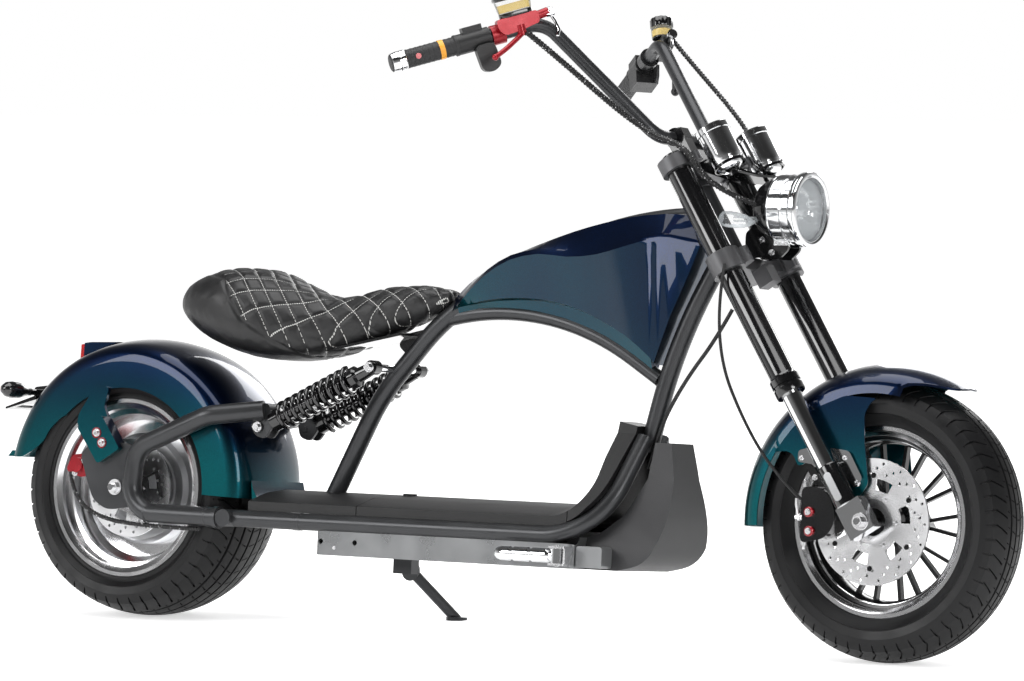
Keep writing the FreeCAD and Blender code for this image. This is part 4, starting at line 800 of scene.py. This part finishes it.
# Seat: a pressed cushion with sewn diamonds
seat = {"voxel": 0.005, "inset": 0.005, "pressure": 4.0, "frames": 20, "cap": 0.010, "evening": 6, "droop": 0.8,
        "diamond": 52.0, "channel": 2.6, "channelWidth": 4.2, "sewnHeight": 6.0, "seamDepth": 3.2, "seamWidth": 4.0,
        "seam": [(60, 590), (100, 622), (150, 646), (202, 638), (258, 562), (316, 523), (378, 487), (450, 455),
                 (700, 400)],
        "crest": [(60, 590), (81, 616), (107, 641), (147, 658), (192, 664), (238, 658), (307, 630), (375, 604),
                  (409, 601), (463, 611), (528, 633), (571, 643), (614, 647), (654, 628), (700, 610)]}


def along(table, x):
    for (x0, z0), (x1, z1) in zip(table, table[1:]):
        if x <= x1:
            return z0 + (z1 - z0) * max(x - x0, 0) / (x1 - x0)
    return table[-1][1]


def applied(piece):
    mesh = evaluated(piece)
    piece.modifiers.clear()
    piece.data = mesh
    return mesh


def pressOut(cushion):  # cloth under pressure, held to a small move
    start = [corner.co.copy() for corner in cushion.data.vertices]
    cloth = cushion.modifiers.new("cloth", "CLOTH")
    cloth.settings.use_pressure = True
    cloth.settings.uniform_pressure_force = seat["pressure"]
    cloth.settings.effector_weights.gravity = 0
    cloth.point_cache.frame_start = 1
    cloth.point_cache.frame_end = seat["frames"]
    for step in range(1, seat["frames"] + 1):
        bpy.context.scene.frame_set(step)
    mesh = applied(cushion)
    bpy.context.scene.frame_set(1)
    for corner, before in zip(mesh.vertices, start):
        move = corner.co - before
        if move.length > seat["cap"]:
            corner.co = before + move.normalized() * seat["cap"]


def quilted(mesh):  # sinks the channels and the seam, and keeps their lines for the thread
    lengths, total = [], 0.0
    for (x0, z0), (x1, z1) in zip(seat["crest"], seat["crest"][1:]):
        lengths.append((x0, total))
        total += math.hypot(x1 - x0, z1 - z0)
    lengths.append((seat["crest"][-1][0], total))
    normals = [corner.normal.copy() for corner in mesh.vertices]
    lines = {"quiltA": [], "quiltB": [], "seamHeight": []}
    for corner, normal in zip(mesh.vertices, normals):
        here = upright(corner.co)
        run = along(lengths, here.x)
        drop = max(along(seat["crest"], here.x) - here.z, 0)
        across = math.copysign(abs(here.y) + seat["droop"] * drop, here.y)
        a, b = (run + across) / seat["diamond"], (run - across) / seat["diamond"]
        height = here.z - along(seat["seam"], here.x)
        sewn = min(max(height / seat["sewnHeight"], 0), 1)
        nearest = min(abs(a - round(a)), abs(b - round(b))) * seat["diamond"] / math.sqrt(2)
        channel = math.exp(-(nearest / seat["channelWidth"]) ** 2) * sewn * seat["channel"]
        seam = math.exp(-(height / seat["seamWidth"]) ** 2) * seat["seamDepth"]
        corner.co -= normal * (max(channel, seam) / 1000)
        for values, value in zip(lines.values(), (a, b, height)):
            values.append(value)
    for name, values in lines.items():
        mesh.attributes.new(name, "FLOAT", "POINT")
        mesh.attributes[name].data.foreach_set("value", values)


def makeCushion():
    mesh = bpy.data.meshes.new("seatCushion")
    work = bmesh.new()
    work.from_mesh(nodes["seat"].data)
    bmesh.ops.remove_doubles(work, verts=work.verts, dist=0.00001)
    work.normal_update()
    for corner in work.verts:
        corner.co -= corner.normal * seat["inset"]
    work.to_mesh(mesh)
    work.free()
    mesh.materials.clear()
    cushion = link("seatCushion", mesh, "chassis")
    remesh = cushion.modifiers.new("remesh", "REMESH")
    remesh.mode = "VOXEL"
    remesh.voxel_size = seat["voxel"]
    applied(cushion)
    evening = cushion.modifiers.new("even", "SMOOTH")
    evening.iterations = seat["evening"]
    applied(cushion)
    pressOut(cushion)
    finer = cushion.modifiers.new("finer", "SUBSURF")
    finer.levels = finer.render_levels = 1
    mesh = applied(cushion)
    quilted(mesh)
    for face in mesh.polygons:
        face.use_smooth = True
    mesh.materials.append(quiltLeather())
    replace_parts(cushion, "seat")


makeCushion()
print("seat ready")


# Headlight: reflector, projector, rings, slats and side screws
reflector = Kit()
reflector.turned(lampFace, ahead, [(-30, 17), (-30, 24), (-12, 25), (-10, 27), (-12, 29), (-24, 30), (-18, 44),
                                   (-6, 52.5), (1, 53.5), (1, 55.5), (-8, 55.5), (-20, 46), (-31, 30)], 48, True)
reflector.piece("lampReflector", "steering", "chrome")
projector = Kit()
projector.turned(lampFace, ahead, [(-30, 0.3), (-29, 20), (-16, 22.5), (-10, 18), (-6, 11), (-4.5, 0.3)], 40)
projector.piece("lampProjector", "steering", "chrome")
rim = Kit()
rim.turned(lampFace, ahead, [(0, 56.5), (0.5, 60.5), (3, 61.5), (5, 60.5), (5.5, 56.5)], 64, True)
rim.turned(lampFace, ahead, [(8.2, 57.5), (10.4, 60), (10.4, 63), (8.2, 66.3), (6, 66.9), (6, 57.5)], 64, True)
rim.piece("lampRims", "steering", "chrome")
slats = {"count": 24, "from": 40, "long": 11, "half": 1.6}
slatKit = Kit()
for step in range(slats["count"]):
    angle = math.tau * step / slats["count"]
    out = at(0, math.cos(angle), math.sin(angle))
    side = at(0, -math.sin(angle), math.cos(angle))
    base = lampFace + out * slats["from"] - side * slats["half"] + ahead * -13.5
    far = base + out * slats["long"]
    slatKit.prism([base, far + ahead * 7, far + ahead * 9, base + ahead * -2], side * (2 * slats["half"]))
slatKit.piece("lampSlats", "steering", "black_paint")
screwRadius = 61.0
screwSpots = []
for sign in (-1, 1):
    for angle in (-0.9, 0.0, 0.9):
        out = at(0, sign * math.cos(angle), math.sin(angle))
        screwSpots.append((lampFace + ahead * -22 + out * screwRadius, out, 3.4))
fasten("lampScrews", "steering", 0.6, 1.4, screwSpots)


# Fork and gauge trim
caps, gaugeTrim, badges = Kit(), Kit(), Kit()
for sign in (-1, 1):
    caps.turned(onFork(742, 30, sign * 105), forkUp, [(0, 0.3), (0, 19), (4, 19), (6, 16.5), (6, 9), (4, 8), (4, 0.3)])
    for up, tall in ((684, 5), (750, 4)):
        gaugeTrim.turned(onFork(up, 106.5, sign * 71), forkUp, [(0, 28), (0, 29.8), (tall, 29.8), (tall, 28)], 40, True)
    outline = rounded([(50, -7), (104, -7), (104, 7), (50, 7)], 7, 6)
    badges.prism([onFork(up, 30 + legs, sign * 124.4) for up, legs in outline], (0, sign * 1.1, 0))
caps.piece("forkCaps", "steering", "red_paint")
gaugeTrim.piece("gaugeRings", "steering", "black_paint")
badges.piece("sleeveBadges", "steering", "cast_alloy")
fasten("steeringScrews", "steering", 0.8, 1.35,  # lamp stay, gauges, riser clamps
       [(at(x, sign * 24.0, z), at(0, sign, 0), 4.4) for sign in (-1, 1) for x, z in ((1297, 729), (1318, 707))]
       + [(onFork(690, 135.6, sign * 71), forkAhead, 2.4) for sign in (-1, 1)]
       + [(onFork(803, 29.7 + step, sign * 45 + 9 * side), forkUp, 2.8)
          for sign in (-1, 1) for side in (-1, 1) for step in (-10, 12)])


# Grips: chrome ends, amber band, red mark and ribs
ribs = {"count": 10, "first": 20.0, "pitch": 9.0}
gripEnds, gripRings, gripMarks, gripRibs = Kit(), Kit(), Kit(), Kit()
for side, way in gripSides:
    gripEnds.turned(side(-11.3, 0, 0), way, [(0.2, 0.3), (0.2, 13.4), (2.2, 16.6), (12, 18.1), (15, 18.1), (15.6, 17.5),
                                             (17, 17.5), (17.6, 18.1), (25.6, 18.1), (28, 16.2)], 40)
    for step in range(ribs["count"]):
        gripRibs.collar(side(ribs["first"] + step * ribs["pitch"], 0, 0), way, 1.6, 1.0, 16.3, 16.95, 32)
gripRings.turned(onGrip(78, 0, 0), gripWay, [(0, 16.3), (0, 17.4), (9, 17.4), (9, 16.3)], 40, True)
oval = [(37 + 5 * math.cos(math.tau * step / 20), 5.0 * math.sin(math.tau * step / 20)) for step in range(20)]
gripMarks.rings([[onGrip(x, -reach * math.cos(bend / 17), reach * math.sin(bend / 17)) for x, bend in oval]
                 for reach in (16.2, 17.7)])
gripEnds.piece("gripEnds", "steering", "chrome")
gripRings.piece("gripBand", "steering", "red_paint", amberBand)
gripMarks.piece("gripMark", "steering", "red_paint")
gripRibs.piece("gripRibs", "steering", "grip_rubber")

# Reservoirs: a square one on the right, a round one with a knurled lid on the left
cups, cupFluid, cupDark = Kit(), Kit(), Kit()


def cupRing(grow, height):
    outline = rounded([(191 - grow, -36 - grow), (259 + grow, -36 - grow), (259 + grow, grow), (191 - grow, grow)], 12)
    return [onGrip(a, b, height) for a, b in outline]


cupDark.rings([cupRing(-6, 23), cupRing(-4, 25), cupRing(-4, 31), cupRing(-6, 32)])
cupDark.rings([cupRing(-1, 54), cupRing(0.5, 55), cupRing(0.5, 60), cupRing(-2, 62)])
cupFluid.rings([cupRing(-6, 33), cupRing(-5, 47)])
cups.rings([cupRing(-4.2, 31.5), cupRing(-1.5, 53.8)])
knurls = {"steps": 48, "each": 4, "depth": 1.2}
leftCup = onLeftGrip(228, -18, 24)
leftWay, leftBack, leftAbove = mirrorY(gripWay), mirrorY(gripBack), mirrorY(gripAbove)
cupDark.turned(leftCup, leftAbove, [(0, 0.3), (0, 12), (3, 18.5), (6, 18.5), (6, 0.3)])
lid = []
for height, reach in ((25, 21.0), (40, 21.6), (43, 19.5)):
    lid.append([])
    for step in range(knurls["steps"]):
        angle = math.tau * step / knurls["steps"]
        radius = reach - (knurls["depth"] if step % knurls["each"] < knurls["each"] / 2 else 0)
        lid[-1].append(leftCup + leftAbove * height + (leftWay * math.cos(angle) + leftBack * math.sin(angle)) * radius)
cupDark.rings(lid)
cupFluid.turned(leftCup, leftAbove, [(6.3, 0.3), (6.3, 18), (19, 18.6), (19, 0.3)])
cups.turned(leftCup, leftAbove, [(6.1, 0.3), (6.1, 19.2), (24.8, 20.2), (24.8, 0.3)])
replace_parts(cups.piece("reservoirCups", "steering", "clear_lens"), "reservoirs")
cupDark.piece("reservoirLids", "steering", "black_paint", bevel=0.6)
cupFluid.piece("reservoirFluid", "steering", "clear_lens", brakeFluid)

# Hose unions and their pipes, switches with their cable
fittings = Kit()
for side in (onGrip, onLeftGrip):
    fittings.tube([side(278, -20, 14), side(292, -20, 14)], 7.6, 6)
    fittings.tube([side(283, -20, 14), side(288, -20, 14)], 9.4, 24)
fittings.tube([onGrip(286, -20, 8), onGrip(290, -22, -4), onGrip(292, -26, -20), onGrip(286, -29, -30)], 3.0)
fittings.tube([onLeftGrip(280, -20, 12), onLeftGrip(288, -18, 2), onLeftGrip(300, -14, -14)], 3.0)
fittings.piece("hoseFittings", "steering", "chrome")
switchTrim = Kit()
for low, high in ((-30, -20), (-16, -8), (-2, 6)):
    outline = rounded([(124, low), (124, high), (154, high), (154, low)], 2)
    switchTrim.prism([onLeftGrip(x, -26.2, z) for x, z in outline], onLeftGrip(0, -2.4, 0) - onLeftGrip(0, 0, 0))
switchTrim.tube([onLeftGrip(160, -20, -26), onLeftGrip(176, -20, -36), onLeftGrip(190, -18, -30),
                 onLeftGrip(200, -16, -12)], 2.6)
switchTrim.piece("switchButtons", "steering", "shield_plastic")
print("lamp and controls ready")


# Hoses: the steered ones follow the part's own lines
cable = {"steps": 24, "bevelSteps": 4, "order": 3, "braidStep": 0.0009, "strip": 0.0013}


def splineOf(name, path, radius, body, finish):
    curve = bpy.data.curves.new(name, "CURVE")
    curve.dimensions = "3D"
    curve.resolution_u = cable["steps"]
    curve.bevel_depth = radius / 1000
    curve.bevel_resolution = cable["bevelSteps"]
    curve.use_fill_caps = True
    spline = curve.splines.new("NURBS")
    spline.points.add(len(path) - 1)
    for point, place in zip(spline.points, path):
        point.co = (*inFrame(place), 1)
    spline.order_u = cable["order"]
    spline.use_endpoint_u = True
    curve.materials.append(finishes[finish])
    hose = link(name, curve, body)
    bare = curve.copy()
    bare.bevel_depth = 0
    helper = bpy.data.objects.new("line", bare)
    bpy.context.scene.collection.objects.link(helper)
    line = evaluated(helper)
    bpy.data.objects.remove(helper)
    points = [corner.co for corner in line.vertices]
    return hose, line, sum((after - before).length for before, after in zip(points, points[1:]))


rightRoute = [onGrip(236, -30, -12), onFork(1019, -43, -219), onFork(802, 16, -127), onFork(752, 67, -112),
              onFork(660, 70, -108), onFork(604, 108, -34)]
besideRight = at(0, -9, -1)  # from the right hose to its twin
hoses = {  # name: body, radius, pitch of the braid if it has one, node that it replaces, route
    "rightHose": ("steering", 3.2, 0.0065, "bar_hoses", rightRoute),
    "rightTwinHose": ("steering", 3.2, 0.0065, None, [point + besideRight for point in rightRoute]),
    "leftHose": ("steering", 3.6, 0.0085, None, [mirrorY(point) for point in (
        onGrip(272, -20, 15), onFork(1006, 5, -202), onFork(783, 91, -113), onFork(700, 77, -113),
        onFork(604, 108, -34))]),
    "frontBrakeHose": ("steering", 2.8, None, "front_brake_hose", [
        onFork(518, 44, -139), at(1261, -125, 548.8), at(1345, -115, 373.8), at(1437, -111, 279.8),
        at(1451, -106, 273.8)]),
    "rearBrakeHose": ("chassis", 3.4, 0.0065, "rear_brake_hose", [
        at(-114, -114, 263.5), at(-104, -116, 219.5), at(-30, -131.5, 179.5), at(90, -135.5, 170),
        at(200, -135.5, 170)]),
    "wiringLoom": ("chassis", 3.6, None, None, [
        at(1080, -15, 318), at(1098, -15, 372), at(1116, -15, 420), at(1156, -15, 486), at(1208, -15, 552),
        at(1238, -13, 606)]),
}
for name, (body, radius, pitch, replaced, route) in hoses.items():
    hose, line, length = splineOf(name, route, radius, body, "hose_rubber")
    if pitch:
        strip = wraps.grow(name + "Wrap", line, {
            "Pitch": pitch, "Wrap radius": radius / 1000, "Strip radius": cable["strip"],
            "Step": cable["braidStep"], "Finish": braidFinish}, body)
    if replaced:
        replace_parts(hose, replaced)
    inFrame(route[0])
    2 * radius / 1000
    print(name, "length", round(length, 3))
print("hoses ready")


# Studio
studio = {"floorSize": 160.0, "worldLight": 0.50, "floorGlow": 0.58, "floorShade": 0.90, "floorGloss": 0.6,
          "overheadGlow": 0.12, "overheadFrom": (0.05, 0.60), "roomGlow": 0.22, "behindGlow": 0.85,
          "roomFrom": (-0.45, 0.45)}
lamps = {  # name: place, target, width, watts
    "overhead": ((0.0, -0.5, 4.5), (0, 0, 0.4), 4.0, 190),
    "keySide": ((-3.5, -5.5, 3.2), (0, 0, 0.5), 3.0, 210),
    "noseSide": ((5.5, -3.0, 2.4), (0.6, 0, 0.5), 2.2, 120),
    "backSide": ((-1.0, 5.5, 3.0), (0, 0, 0.5), 3.0, 120),
}


def rayKinds(mix):
    return [mix.add("ShaderNodeLightPath", output=kind)
            for kind in ("Is Camera Ray", "Is Glossy Ray", "Is Transmission Ray")]


def makeWorld():  # in reflections, white behind the vehicle and darker overhead and in the room before it
    world = bpy.data.worlds.new("studio")
    bpy.context.scene.world = world
    mix = Recipe(world)
    direct, glossy, through = rayKinds(mix)
    way = mix.axes(mix.add("ShaderNodeTexCoord"))
    toRoom = way[0] * lookBack.x + way[1] * lookBack.y
    backdrop = (mix.between(way[2], *studio["overheadFrom"], 1.0, studio["overheadGlow"])
                * mix.between(toRoom, *studio["roomFrom"], studio["behindGlow"], studio["roomGlow"]))
    level = studio["worldLight"] * (1 - glossy) + glossy * backdrop
    seen = mix.calc("MAXIMUM", direct, through)
    background = mix.add("ShaderNodeBackground", {}, {0: (1, 1, 1, 1), 1: level * (1 - seen) + seen})
    mix.add("ShaderNodeOutputWorld", {}, {0: background})


def makeFloor():
    half, shade = studio["floorSize"] / 2, studio["floorShade"]
    mesh = bpy.data.meshes.new("floor")
    mesh.from_pydata([(-half, -half, 0), (half, -half, 0), (half, half, 0), (-half, half, 0)], [], [(0, 1, 2, 3)])
    floor = bpy.data.objects.new("floor", mesh)
    bpy.context.scene.collection.objects.link(floor)
    mix = recipe("floorPaper")
    direct, glossy, through = rayKinds(mix)
    diffuse = mix.add("ShaderNodeBsdfDiffuse", {}, {0: (shade, shade, shade, 1)})
    glow = mix.add("ShaderNodeEmission", {}, {
        0: (1, 1, 1, 1), 1: (direct + glossy * studio["floorGloss"] + through) * studio["floorGlow"]})
    both = mix.add("ShaderNodeAddShader", {}, {0: diffuse, 1: glow})
    mix.add("ShaderNodeOutputMaterial", {}, {0: both})
    mesh.materials.append(mix.owner)


makeWorld()
makeFloor()
for name, (place, target, width, watts) in lamps.items():
    lamp = bpy.data.objects.new(name, bpy.data.lights.new(name, "AREA"))
    lamp.data.size = width
    lamp.data.energy = watts
    lamp.location = place
    lamp.rotation_mode = "QUATERNION"
    lamp.rotation_quaternion = (Vector(target) - Vector(place)).to_track_quat("-Z", "Y")
    bpy.context.scene.collection.objects.link(lamp)
print("studio ready")
